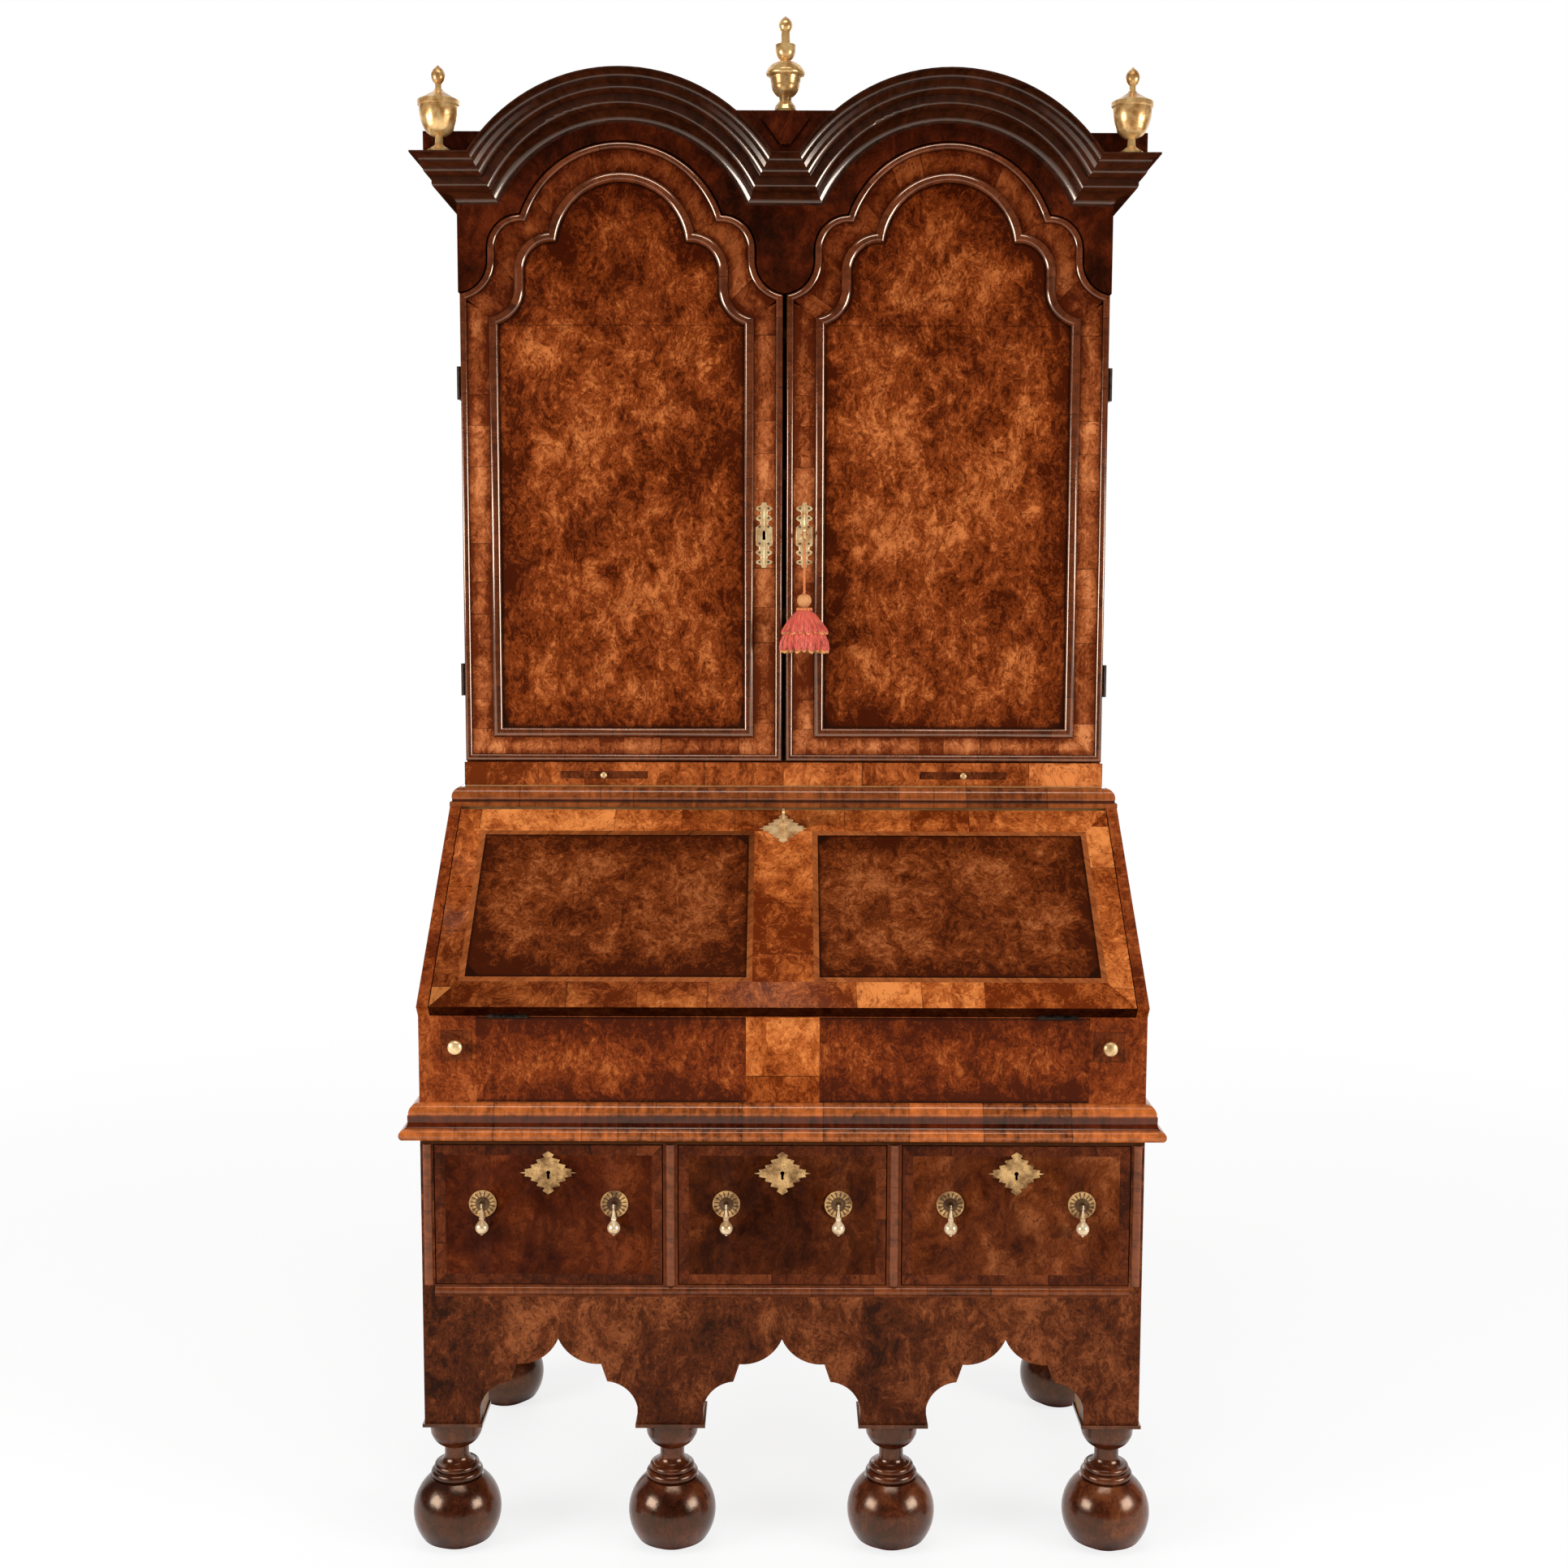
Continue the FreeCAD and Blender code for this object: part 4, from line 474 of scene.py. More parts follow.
def leaves(name, sheets, place, material, body, slot, thickness=leaf_thickness):
    """Flat leaves in one mesh. Each sheet is an outline or a grid of places, the UV of its points, and for a
    grid their way in from the edge. It is laid at lift 0 and again at the thickness, and a rim of quads joins
    the two."""
    points, faces, lay, rim, start = [], [], [], [], 0
    for spots, figure, *way_in in sheets:
        flat, figure = spots.reshape(-1, 2), figure.reshape(-1, 2)
        count = len(flat)
        number = np.arange(count).reshape(spots.shape[:-1])
        cells, ring = number[None], number
        if spots.ndim == 3:
            cells = np.stack([number[:-1, :-1], number[:-1, 1:], number[1:, 1:], number[1:, :-1]], -1)
            cells = cells.reshape(-1, 4)
            ring = np.concatenate([number[0, :-1], number[:-1, -1], number[-1, :0:-1], number[:0:-1, 0]])
        after = np.roll(ring, -1)
        for block in (cells + count, cells[:, ::-1], np.stack([ring, after, after + count, ring + count], 1)):
            faces += (start + block).tolist()
            lay.append(figure[block % count].reshape(-1, 2))
        points += [place(*flat.T, lift) for lift in (0.0, thickness)]
        rim += [way.ravel() for way in 2 * way_in]
        start += 2 * count
    rim = np.concatenate(rim) if rim else ()
    return solid(name, np.vstack(points), faces, material, body, slot, np.vstack(lay), rim=rim)


def inward(grid, outline):
    """The least distance from each point of a grid to the straight runs of a closed outline."""
    run = np.roll(outline, -1, 0) - outline
    off = grid[..., None, :] - outline
    share = np.clip(np.sum(off * run, -1) / np.sum(run * run, -1), 0, 1)
    return np.linalg.norm(off - share[..., None] * run, axis=-1).min(-1)


def oblong_grid(low_a, low_b, high_a, high_b, columns=22, rows=14):
    """A grid of places over an oblong, row by row."""
    return np.stack(np.meshgrid(np.linspace(low_a, high_a, columns), np.linspace(low_b, high_b, rows)), -1)


def on_front(face_y):
    """Lays leaf places (a, b) on an upright face that looks along -Y: a is X, b is Z, and lift is towards
    the front."""
    return lambda a, b, lift: np.stack([a, np.full_like(a, face_y - lift), b], 1)


def oblong(low_a, low_b, high_a, high_b):
    """The corners of an upright oblong."""
    return np.array([(low_a, low_b), (high_a, low_b), (high_a, high_b), (low_a, high_b)])


def along(outline, way, shift=0.0):
    """UV of banding: the first is the way along (0 for a, 1 for b), the second the way across."""
    return outline[:, [way, 1 - way]] + shift


def border(low_a, low_b, high_a, high_b, width, shift=0.0):
    """Four mitred strips inside an oblong, with their UV."""
    outer = oblong(low_a, low_b, high_a, high_b)
    inner = oblong(low_a + width, low_b + width, high_a - width, high_b - width)
    strips = []
    for index in range(4):
        after = (index + 1) % 4
        strip = np.array([outer[index], outer[after], inner[after], inner[index]])
        strips.append((strip, along(strip, index % 2, shift + strip_cut * index)))
    return strips


def arc(a, b, radius, turn, rise=None):
    """Places on a circle about (a, b), or on an oval with another rise."""
    return np.stack([a + radius * np.cos(turn), b + (radius if rise is None else rise) * np.sin(turn)], 1)


def half_leaf(low_b, high_b, half, hole_b):
    """The right half of a panel with half a keyhole cut into its left edge: a slot below an arc."""
    turn = np.linspace(pi / 2, -acos(keyhole_slot_half / keyhole_radius), 9)
    slot_foot = hole_b - keyhole_slot_length
    foot = [(0, low_b), (half, low_b), (half, high_b), (0, high_b)]
    slot = [(keyhole_slot_half, slot_foot), (0, slot_foot)]
    return np.vstack([foot, arc(0, hole_b, keyhole_radius, turn), slot])


def first_way(u, v, w):
    """Way along a leaf's U, or along X."""
    return u


figure = pieced(first_way, (46, 15, 4), (82, 33, 11), (112, 54, 24), 0.09, 0.14)
drawer_band = waxed("drawer_band", figure, 0.3)
for index, name in enumerate(drawer_tones):
    dress(stand_veneer, name + "_front")
    dress(oak_boards, name + "_box")
    drawer_burr = waxed(name + "_burr", burr_of("UV", *drawer_tones[name], fine=0.6), 0.3, shine=0.04)
    low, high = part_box(name + "_front")
    middle = (low.x + high.x) / 2
    half_width = high.x - middle - drawer_border
    half = half_leaf(low.z + drawer_border, high.z - drawer_border, half_width, keyhole_z)
    lay = half + leaf_cut * index
    sheets = [(half * (side, 1) + (middle, 0), lay) for side in (1, -1)]
    place = on_front(low.y)
    leaves(name + "_leaves", sheets, place, drawer_burr, name, "walnut_burr")
    strips = border(low.x, low.z, high.x, high.z, drawer_border, border_cut * index)
    leaves(name + "_border", strips, place, drawer_band, name, "walnut_banding")

# The drawer brasses: cast and chased plates, pinned to the fronts, with pear drops that swing on a pin.
# A ring of punched beads runs round each handle plate.
bead_ring_radius, bead_radius, bead_count = 0.0162, 0.0016, 30
plate_face = 0.0020
handle_z, handle_inset = 0.506, 0.066
petal_count, petal_inside, petal_outside = 16.0, 0.017, 0.018
well_inside, well_outside = 0.0095, 0.011
handle_top, escutcheon_foot = 0.525, 0.527


def brass_of(name, dark, bright, roughness, worked=None):
    """Old lacquered brass: brighter where rubbed, with a soft mottled tarnish. Worked takes the place and
    gives a mask of punched or chased ground, which is dark, and sinks."""
    material, tree, shader = new_material(name)
    at = put(tree, "TexCoord")["Object"]
    cloud = at.noise(60.0, 5.0, roughness=0.6)
    shade = cloud.to(0.36, 0.62).blend(tint(*dark), tint(*bright))
    rough = cloud.to(0.3, 0.7, roughness + 0.12, roughness - 0.06)
    relief = at.noise(900.0, 2.0) * 0.3
    if worked:
        ground = worked(*at.parts())
        shade = (ground * 0.85).blend(shade, tint(62, 32, 16))
        relief = relief - ground
    normal = relief.bump(0.4, 0.0003)
    feed(tree, shader, {"Base Color": shade, "Roughness": rough, "Normal": normal, "Metallic": 0.5})
    return material


def turns(count):
    """Angles of a whole turn in equal steps."""
    return np.linspace(0, 2 * pi, count, endpoint=False)


def lathe(rows, low_pole, high_pole):
    """A closed skin over rows of rings: quads between the rings and a fan to a pole at each end."""
    count, spins = rows.shape[:2]
    points = np.vstack([rows.reshape(-1, 3), low_pole, high_pole])
    turn = np.arange(spins)
    after = np.roll(turn, -1)
    start = np.arange(count - 1)[:, None] * spins
    quads = np.stack([start + turn, start + after, start + spins + after, start + spins + turn], -1)
    top = (count - 1) * spins
    low = np.stack([after, turn, np.full(spins, count * spins)], 1)
    high = np.stack([top + turn, top + after, np.full(spins, count * spins + 1)], 1)
    return points, quads.reshape(-1, 4).tolist() + low.tolist() + high.tolist()


def balls(centres, radius, rows, spins):
    """Points and faces of equal balls about their centres, each of rings by latitude between two poles."""
    lift = np.linspace(-pi / 2, pi / 2, rows + 2)[1:-1, None]
    turn = turns(spins)
    ring = radius * np.cos(lift)
    height = np.repeat(radius * np.sin(lift), spins, 1)
    ball = np.stack([ring * np.cos(turn), ring * np.sin(turn), height], -1)
    points, faces = lathe(ball, (0, 0, -radius), (0, 0, radius))
    starts = np.arange(len(centres)) * len(points)
    faces = [(start + np.array(face)).tolist() for start in starts for face in faces]
    return (centres[:, None] + points).reshape(-1, 3), faces


def rosette(middle, half):
    """The ground of the handle plates: dark round the post and between sixteen petals of a ring, and a few
    punched dots on the escutcheon above."""
    def ground(x, y, z):
        off, up = abs(x - middle) - half, z - handle_z
        reach = (off * off + up * up).by("SQRT")
        petal = (up.by("ARCTAN2", off) * petal_count).by("COSINE").to(-0.75, -0.2, 1.0, 0.0)
        gap = petal * reach.to(petal_inside, petal_outside, 1.0, 0.0)
        well = reach.to(well_inside, well_outside, 1.0, 0.0)
        plate = z.to(handle_top, escutcheon_foot, 1.0, 0.0)
        spot = put(x.tree, "CombineXYZ", {0: x, 2: z})[0]
        punch = put(x.tree, "TexVoronoi", {"Vector": spot, "Scale": 260.0})["Distance"]
        return gap.by("MAXIMUM", well) * plate + punch.to(0.16, 0.28, 0.7, 0.0) * (1.0 - plate)
    return ground


brass = brass_of("brass_old", (168, 122, 72), (246, 210, 154), 0.3)
drop_brass = brass_of("drop_brass", (186, 146, 100), (252, 226, 186), 0.22)
dress(drop_brass, *(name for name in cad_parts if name.startswith("drop_")))
for name in drawer_tones:
    low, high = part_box(name + "_front")
    ground = rosette((low.x + high.x) / 2, (high.x - low.x) / 2 - handle_inset)
    chased = brass_of(name + "_chased", (122, 84, 44), (220, 174, 112), 0.3, ground)
    dress(chased, name + "_brasses")
    for side, x in (("left", low.x + handle_inset), ("right", high.x - handle_inset)):
        ring = arc(x, handle_z, bead_ring_radius, turns(bead_count))
        centres = on_front(low.y)(*ring.T, plate_face)
        solid(f"{name}_{side}_beads", *balls(centres, bead_radius, 5, 10), chased, name, "brass")

# The stand moulding: an ovolo over a scotia and a torus in short cross-grain walnut pieces, mitred at
# the front corners and returned along both sides.
flank_inside, flank_outside = 0.4985, 0.4995
hollows = ((0.6150, 0.6175, 0.6330, 0.6350), (1.0345, 1.0355, 1.0385, 1.0400))


def side_or_front(x, y, z):
    """Way along a three-sided moulding: Y past the sides' face and X on the front."""
    return abs(x).to(flank_inside, flank_outside).pick(x, y + 3.0)


def in_hollow(x, y, z):
    """The hollow of the stand moulding and the quirk of the waist moulding, by their heights, where painted
    shade goes.
    """
    low, high = (z.to(foot, full) * z.to(less, top, 1.0, 0.0) for foot, full, less, top in hollows)
    return low + high


# Painted shade: the scotia of the stand moulding is multiplied dark, as the shade in that hollow.
figure = stain_and_shade(across(side_or_front, (58, 19, 3), (206, 110, 50), 0.075), in_hollow, (0.18, 0.09, 0.05))
moulding_wood = waxed("moulding_wood", figure, 0.18, shine=0.45, grime_and_shade=0.02)
dress(moulding_wood, "stand_moulding")

# The bureau: sides and front veneered in burr, with crossbanded ends; two lopers draw out of the
# front on brass knobs to carry the fall.
centre_half = 0.0505
joint_gap = 0.0001
front_foot = 0.6500
seam_fade, loper_fade = 0.1, 0.03
front_low, front_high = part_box("bureau_front")
top_gap, loper_gap = 0.001, 0.006
front_top = front_high.z - top_gap
panel_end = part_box("loper_right")[0].x - loper_gap
front_cut = (3.1, 0.4)
loper_knob, loper_knob_reach = 0.010, 0.018
knob_outline = (
    (0.55, 0.0), (0.42, 0.35), (0.62, 0.40), (0.90, 0.52), (1.0, 0.66), (0.94, 0.82), (0.70, 0.93),
    (0.36, 0.99),
)


def turned_to_front(outline, radius, reach, centre, spins=40):
    """A knob turned about -Y from an outline of radius and reach shares, with rings between its points."""
    shares = np.array(outline)
    fine = np.linspace(0, len(shares) - 1, 4 * len(shares))
    across_share, reach_share = (np.interp(fine, np.arange(len(shares)), share) for share in shares.T)
    turn = turns(spins)
    ring = across_share[:, None] * radius
    depth = np.repeat(-reach_share[:, None] * reach, spins, 1)
    rows = np.stack([ring * np.cos(turn), depth, ring * np.sin(turn)], -1) + centre
    return lathe(rows, centre, np.array(centre) - (0, reach, 0))


def box_faces(low, high):
    """Points and faces of a box."""
    points = np.stack(np.meshgrid(*zip(low, high), indexing="ij"), -1).reshape(-1, 3)
    return points, [[0, 1, 3, 2], [4, 6, 7, 5], [0, 4, 5, 1], [2, 3, 7, 6], [0, 2, 6, 4], [1, 5, 7, 3]]


def drawn_bar(name, knob_radius, knob_reach, wood, slot):
    """A sliding bar with a brass knob on its end, in the place of the CAD node of that name."""
    low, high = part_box(name)
    face_y = low.y + knob_reach
    bar = solid(name + "_bar", *box_faces((low.x, face_y, low.z), tuple(high)), wood, name, slot)
    centre = ((low.x + high.x) / 2, face_y, (low.z + high.z) / 2)
    turned = turned_to_front(knob_outline, knob_radius, knob_reach, centre)
    knob = solid(name + "_knob", *turned, brass, name, "brass")
    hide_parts(name)
    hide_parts(name)


front_veneer = waxed("front_veneer", burr_of("Object", (78, 26, 5), (126, 54, 17), (166, 88, 40)), 0.3)
dress(front_veneer, "bureau_front", "bureau_sides")
# Painted shade: the front's burr leaves darken along their top and foot, and a little towards the lopers.
front_burr = waxed("front_burr", burr_of("UV", (66, 20, 3), (116, 47, 13), (168, 90, 40), True), 0.3)
panel = oblong_grid(centre_half + joint_gap, front_foot, panel_end, front_top)
way_in = inward(panel, oblong(centre_half - seam_fade, front_foot, panel_end + loper_fade, front_top))
sheets = [(panel * (side, 1), panel + front_cut, way_in) for side in (1, -1)]
place = on_front(front_low.y)
leaves("bureau_front_leaves", sheets, place, front_burr, "carcase", "walnut_burr")
figure = pieced(first_way, (96, 35, 7), (164, 82, 33), (214, 129, 66), 0.13, 0.34)
band_warm = waxed("band_warm", figure, 0.3, shine=0.03)
middle = oblong(-centre_half, front_foot, centre_half, front_top)
sheets = [(middle, along(middle, 1))]
leaves("bureau_front_band", sheets, place, band_warm, "carcase", "walnut_banding")
loper_wood = waxed("loper_wood", burr_of("Object", (64, 23, 6), (104, 45, 16), (140, 72, 33)), 0.32)
for name in ("loper_left", "loper_right"):
    drawn_bar(name, loper_knob, loper_knob_reach, loper_wood, "walnut_burr")

# The fall: a slanted walnut flap hinged along its foot, with two mirrored burr panels inside feather
# strips and a wide crossbanded border. It has a brass escutcheon, a key and iron strap hinges.
fall_slope = radians(41.0)
fall_thickness = 0.020
hinge_place = np.array([0.0, -0.2735, 0.770])
fall_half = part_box("fall_board")[1].x
fall_low, fall_high = 0.0006, 0.36568
panel_low, panel_high, panel_side = 0.052, 0.315, 0.440
feather_width = 0.008
inner_low, inner_high = panel_low - feather_width, panel_high + feather_width
inner_side, inner_middle = panel_side + feather_width, centre_half - feather_width
key_b = 0.3277
lip_low, lip_high = 0.784, 0.790
fall_cut = (5.0, 0.8)


def on_slope(a, b, lift):
    """Lays leaf places on the fall's outer face: a is X, b runs up the slope from the hinge line."""
    up = np.array([0.0, cos(fall_slope), sin(fall_slope)])
    out = np.array([0.0, -sin(fall_slope), cos(fall_slope)])
    return hinge_place + a[:, None] * (1.0, 0.0, 0.0) + b[:, None] * up + (fall_thickness + lift) * out


figure = burr_of("Object", (70, 25, 6), (108, 50, 18), (144, 78, 38))
# Painted shadow: below the lip the fall board's edge is multiplied nearly black, as the shadow in the gap
# under the fall.
fall_wood = waxed("fall_wood", stain_and_shade(figure, by_height(lip_low, lip_high), (0.16, 0.13, 0.12)), 0.3)
dress(fall_wood, "fall_board")
# Painted shade: the fall panels darken along their edges, inside the feather strips.
figure = burr_of("UV", (58, 19, 4), (110, 49, 17), (160, 90, 47), True, 0.9)
fall_burr = waxed("fall_burr", figure, 0.32, shine=0.03)
panel = oblong_grid(centre_half, panel_low, panel_side, panel_high)
way_in = inward(panel, oblong(centre_half, panel_low, panel_side, panel_high))
sheets = [(panel * (side, 1), panel + fall_cut, way_in) for side in (1, -1)]
leaves("fall_panels", sheets, on_slope, fall_burr, "fall", "walnut_burr")
feather = waxed("feather", across(lambda u, v, w: u + v, (112, 50, 18), (166, 92, 44), 0.02, "UV"), 0.3)
strips = border(inner_middle, inner_low, inner_side, inner_high, feather_width)
strips += [(strip * (-1, 1), lay) for strip, lay in strips]
leaves("fall_feather", strips, on_slope, feather, "fall", "walnut_banding")
outer = oblong(-fall_half, fall_low, fall_half, fall_high)
inner = oblong(-inner_side, inner_low, inner_side, inner_high)
right_end = np.array([outer[1], outer[2], inner[2], inner[1]])
foot_strip = np.array([outer[0], outer[1], inner[1], inner[0]])
head_half = half_leaf(inner_high, fall_high, inner_side, key_b)
head_half[2] = outer[2]
middle = oblong(-inner_middle, inner_low, inner_middle, inner_high)
sheets = [
    (right_end, along(right_end, 1, 2.0)),
    (right_end * (-1, 1), along(right_end, 1, 2.6)),
    (foot_strip, along(foot_strip, 0, 0.2)),
    (head_half, along(head_half, 0, 4.1)),
    (head_half * (-1, 1), along(head_half, 0, 5.3)),
    (middle, along(middle, 1, 7.7)),
]
leaves("fall_border", sheets, on_slope, band_warm, "fall", "walnut_banding")

iron, tree, shader = new_material("iron")
rust = put(tree, "TexCoord")["Object"].noise(120.0, 5.0)
shade = rust.to(0.35, 0.7).blend(tint(30, 22, 17), tint(62, 48, 38))
feed(tree, shader, {"Base Color": shade, "Roughness": rust.to(0.3, 0.7, 0.34, 0.56), "Metallic": 0.85})
dress(iron, "fall_hinge_plates", "fall_hinges", "door_hinge_plates", "door_left_hinges", "door_right_hinges")
dress(iron, "door_lock")
dress(brass, "fall_escutcheon", "fall_key", "door_key")

# The waist moulding and the candle frieze: cross-grain walnut, with two slides for candlesticks that
# draw out on small brass knobs.
slide_knob, slide_knob_reach = 0.005, 0.010
# Painted shade: the quirk of the waist moulding is multiplied dark, as the shade in that hollow.
figure = stain_and_shade(across(side_or_front, (68, 25, 6), (160, 84, 38), 0.075), in_hollow, (0.22, 0.15, 0.11))
waist_wood = waxed("waist_wood", figure, 0.18, shine=0.4, grime_and_shade=0.02)
dress(waist_wood, "waist_moulding")
figure = pieced(first_way, (94, 37, 9), (160, 81, 35), (206, 122, 64), 0.16, 0.3, "Object")
frieze_wood = waxed("frieze_wood", figure, 0.28)
dress(frieze_wood, "candle_frieze")
# The slide ends are set darker than the frieze: partly their own wood and partly painted shade, the dark of
# the slot round them.
slide_wood = waxed("slide_wood", burr_of("Object", (46, 16, 5), (84, 36, 14), (116, 58, 28)), 0.3)
for name in ("candle_slide_left", "candle_slide_right"):
    drawn_bar(name, slide_knob, slide_knob_reach, slide_wood, "walnut_banding")

# The upper case: straight sides of walnut veneer, glued up round oak shelves. The same veneer is on the
# edges of the doors.
upper_veneer = waxed("upper_veneer", burr_of("Object", (62, 24, 7), (104, 46, 17), (140, 74, 34)), 0.32)
dress(upper_veneer, "upper_sides", "door_left_board", "door_right_board")

# The doors: shaped arches with book-matched burr fields inside a half-round moulding, a crossbanded
# frame and a bead round the outer edge.
door_half, door_x, door_foot = 0.2378, 0.2408, 1.096
ear_radius = 0.049
door_sizes = (door_half, 0.0, 0.689, 0.1963, 0.80302, 0.90702)
field_sizes = (0.1883, 0.043, 0.650, 0.1503, 0.77095, 0.85702)
field_joint = 0.372
edge_bead, edge_bead_gap, edge_bead_rise = 0.010, 0.0002, 0.004
field_moulding, field_moulding_rise = 0.014, 0.006
band_middle = 0.017
arc_points, side_points, field_columns = 26, 14, 18
long_run = 0.03
bead_dirt_and_shade = 0.0022
bead_glow = (1.0, 0.78, 0.60, 1.0)
band_dark_low, band_dark_high, field_dark_low, field_dark_high = 1.62, 1.84, 1.66, 1.94


def half_arch(half, foot, shoulder, ear, cusp, top):
    """The right half of a shaped arch from the middle of its foot to its top: a straight side, a cove and
    a round ear of one radius, each on its own circle, and an arch on the circle through cusp and top."""
    cove_x, cusp_x = ear + ear_radius, ear - ear_radius
    reach = acos((cove_x - half) / ear_radius)
    cove_z = shoulder + ear_radius * sin(reach)
    cove = arc(cove_x, cove_z, -ear_radius, np.linspace(reach, 0, arc_points))
    round_ear = arc(cusp_x, cusp - ear_radius, ear_radius, np.linspace(0, pi / 2, arc_points))
    rise = top - cusp
    radius = (cusp_x**2 + rise**2) / (2 * rise)
    arch = arc(0, top - radius, radius, np.linspace(acos(cusp_x / radius), pi / 2, arc_points)[1:])
    return np.vstack([[(0, foot), (half, foot)], cove, round_ear, arch])


def whole_arch(half):
    """A half outline and its mirror, anticlockwise as seen from the front."""
    return np.vstack([half, (half[1:-1] * (-1, 1))[::-1]])


def set_off(path, distance):
    """A closed path moved outward by a distance along the mitre of its corners."""
    ahead = np.roll(path, -1, 0) - path
    ahead = ahead / np.linalg.norm(ahead, axis=1)[:, None]
    normal = np.stack([ahead[:, 1], -ahead[:, 0]], 1)
    before = np.roll(normal, 1, 0)
    mitre = (normal + before) / (1 + np.sum(normal * before, 1))[:, None]
    return path + distance * mitre


def ringed(name, rails, lifts, girth, place, material, body, slot):
    """A closed skin over closed rails side by side, each raised by its own lift. U is the way along the
    first rail, measured straight on long runs and by its own length on bends; V is the girth given for
    each."""
    path = rails[:, 0]
    count, sides = rails.shape[:2]
    grid = np.stack([place(*rails[:, j].T, lifts[j]) for j in range(sides)], 1)
    ahead = np.roll(path, -1, 0) - path
    length = np.linalg.norm(ahead, axis=1)
    ahead = ahead / length[:, None]
    run = np.concatenate([[0.0], np.cumsum(length)])
    i, j = (index.ravel() for index in np.meshgrid(np.arange(count), np.arange(sides), indexing="ij"))
    i2, j2 = (i + 1) % count, (j + 1) % sides
    corners = ((i, j), (i, j2), (i2, j2), (i2, j))
    faces = np.stack([a * sides + b for a, b in corners], 1)
    straight = [np.sum((rails[a, b] - path[i]) * ahead[i], 1) for a, b in corners]
    bent = [0 * length[i], 0 * length[i], length[i], length[i]]
    u = np.stack([run[i] + np.where(length[i] > long_run, s, b) for s, b in zip(straight, bent)], 1)
    v = np.stack([girth[j], girth[j + 1], girth[j + 1], girth[j]], 1)
    lay = np.stack([u, v], -1).reshape(-1, 2)
    return solid(name, grid.reshape(-1, 3), faces.tolist(), material, body, slot, lay)


def moulded(name, path, profile, place, material, body, slot):
    """A closed profile of (out, lift) points swept round a closed path: each is the path set off by out and
    raised by lift. V is the way from the nearer foot of the profile."""
    rails = np.stack([set_off(path, out) for out, lift in profile], 1)
    step = np.linalg.norm(np.diff(profile, axis=0), axis=1)
    way = np.concatenate([[0.0], np.cumsum(step)])
    girth = np.append(np.minimum(way, way[-1] - way), 0.0)
    return ringed(name, rails, profile[:, 1], girth, place, material, body, slot)


def half_round(low, high, rise, quirk=0.0006, points=14):
    """A half-round bead between two offsets, on a low quirk at each side."""
    curve = arc((low + high) / 2, quirk, (high - low) / 2, np.linspace(0, pi, points), rise - quirk)
    return np.vstack([[(high, 0.0)], curve, [(low, 0.0)]])


def edged(figure, width):
    """A figure darkened along both feet of a moulding, where V, the way from the nearer foot, is small:
    painted shade in the angle with the board, together with dirt.
    """
    def dirty_and_shaded(at):
        colour, height = figure(at)
        foot = at["UV"].parts()[1].to(0.2 * width, width, 0.9, 0.0)
        return foot.blend(colour, tint(20, 7, 3)), height
    return dirty_and_shaded


# Painted shade: the field burr darkens along its edge next to the moulding, and is multiplied darker towards
# the top of the arch, where less light reaches under the cornice.
figure = burr_of("UV", (60, 17, 2), (122, 53, 17), (184, 105, 53), True, 0.94)
figure = stain_and_shade(figure, by_height(field_dark_low, field_dark_high, 0.0, 1.0), (0.64, 0.55, 0.45))
field_burr = waxed("field_burr", figure, 0.3)
# Painted shade: the frame band darkens along both its edges, and is multiplied darker towards the arch head
# under the cornice.
figure = pieced(first_way, (84, 31, 9), (144, 74, 36), (192, 118, 70), 0.075, 0.2, rim=True)
figure = stain_and_shade(figure, by_height(band_dark_low, band_dark_high, 0.0, 1.0), (0.38, 0.27, 0.19))
door_band = waxed("door_band", figure, 0.28)
figure = edged(across(first_way, (56, 20, 6), (112, 54, 26), 0.07, "UV"), bead_dirt_and_shade)
door_bead = waxed("door_bead", figure, 0.15, relief=0.02, shine=0.9, index=1.78, glow=bead_glow)
field = half_arch(*field_sizes)
arch_ring, field_ring = whole_arch(half_arch(*door_sizes)), whole_arch(field)
half = field_moulding / 2
field_edge = set_off(field_ring, -half)
inner = field_edge[: len(field)]
lower = oblong_grid(joint_gap, inner[0, 1], inner[1, 0], field_joint - joint_gap)
side = np.stack([np.full(side_points, inner[1, 0]), np.linspace(field_joint, inner[2, 1], side_points)], 1)
side = np.vstack([side[:-1], inner[2:]])
share = np.linspace(0, 1, field_columns)
reach = np.maximum(side[:, :1], 2 * joint_gap) - joint_gap
upper = np.stack([joint_gap + reach * share, np.repeat(side[:, 1:], len(share), 1)], -1)
field_bead = half_round(-half, half, field_moulding_rise)
rim_bead = half_round(-edge_bead, -edge_bead_gap, edge_bead_rise)
lifts = (0.0, leaf_thickness, leaf_thickness, leaf_thickness, 0.0)
girth = np.array([0.0, 0.0, band_middle, 0.0, 0.0, 0.0])
place = on_front(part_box("door_left_board")[0].y)
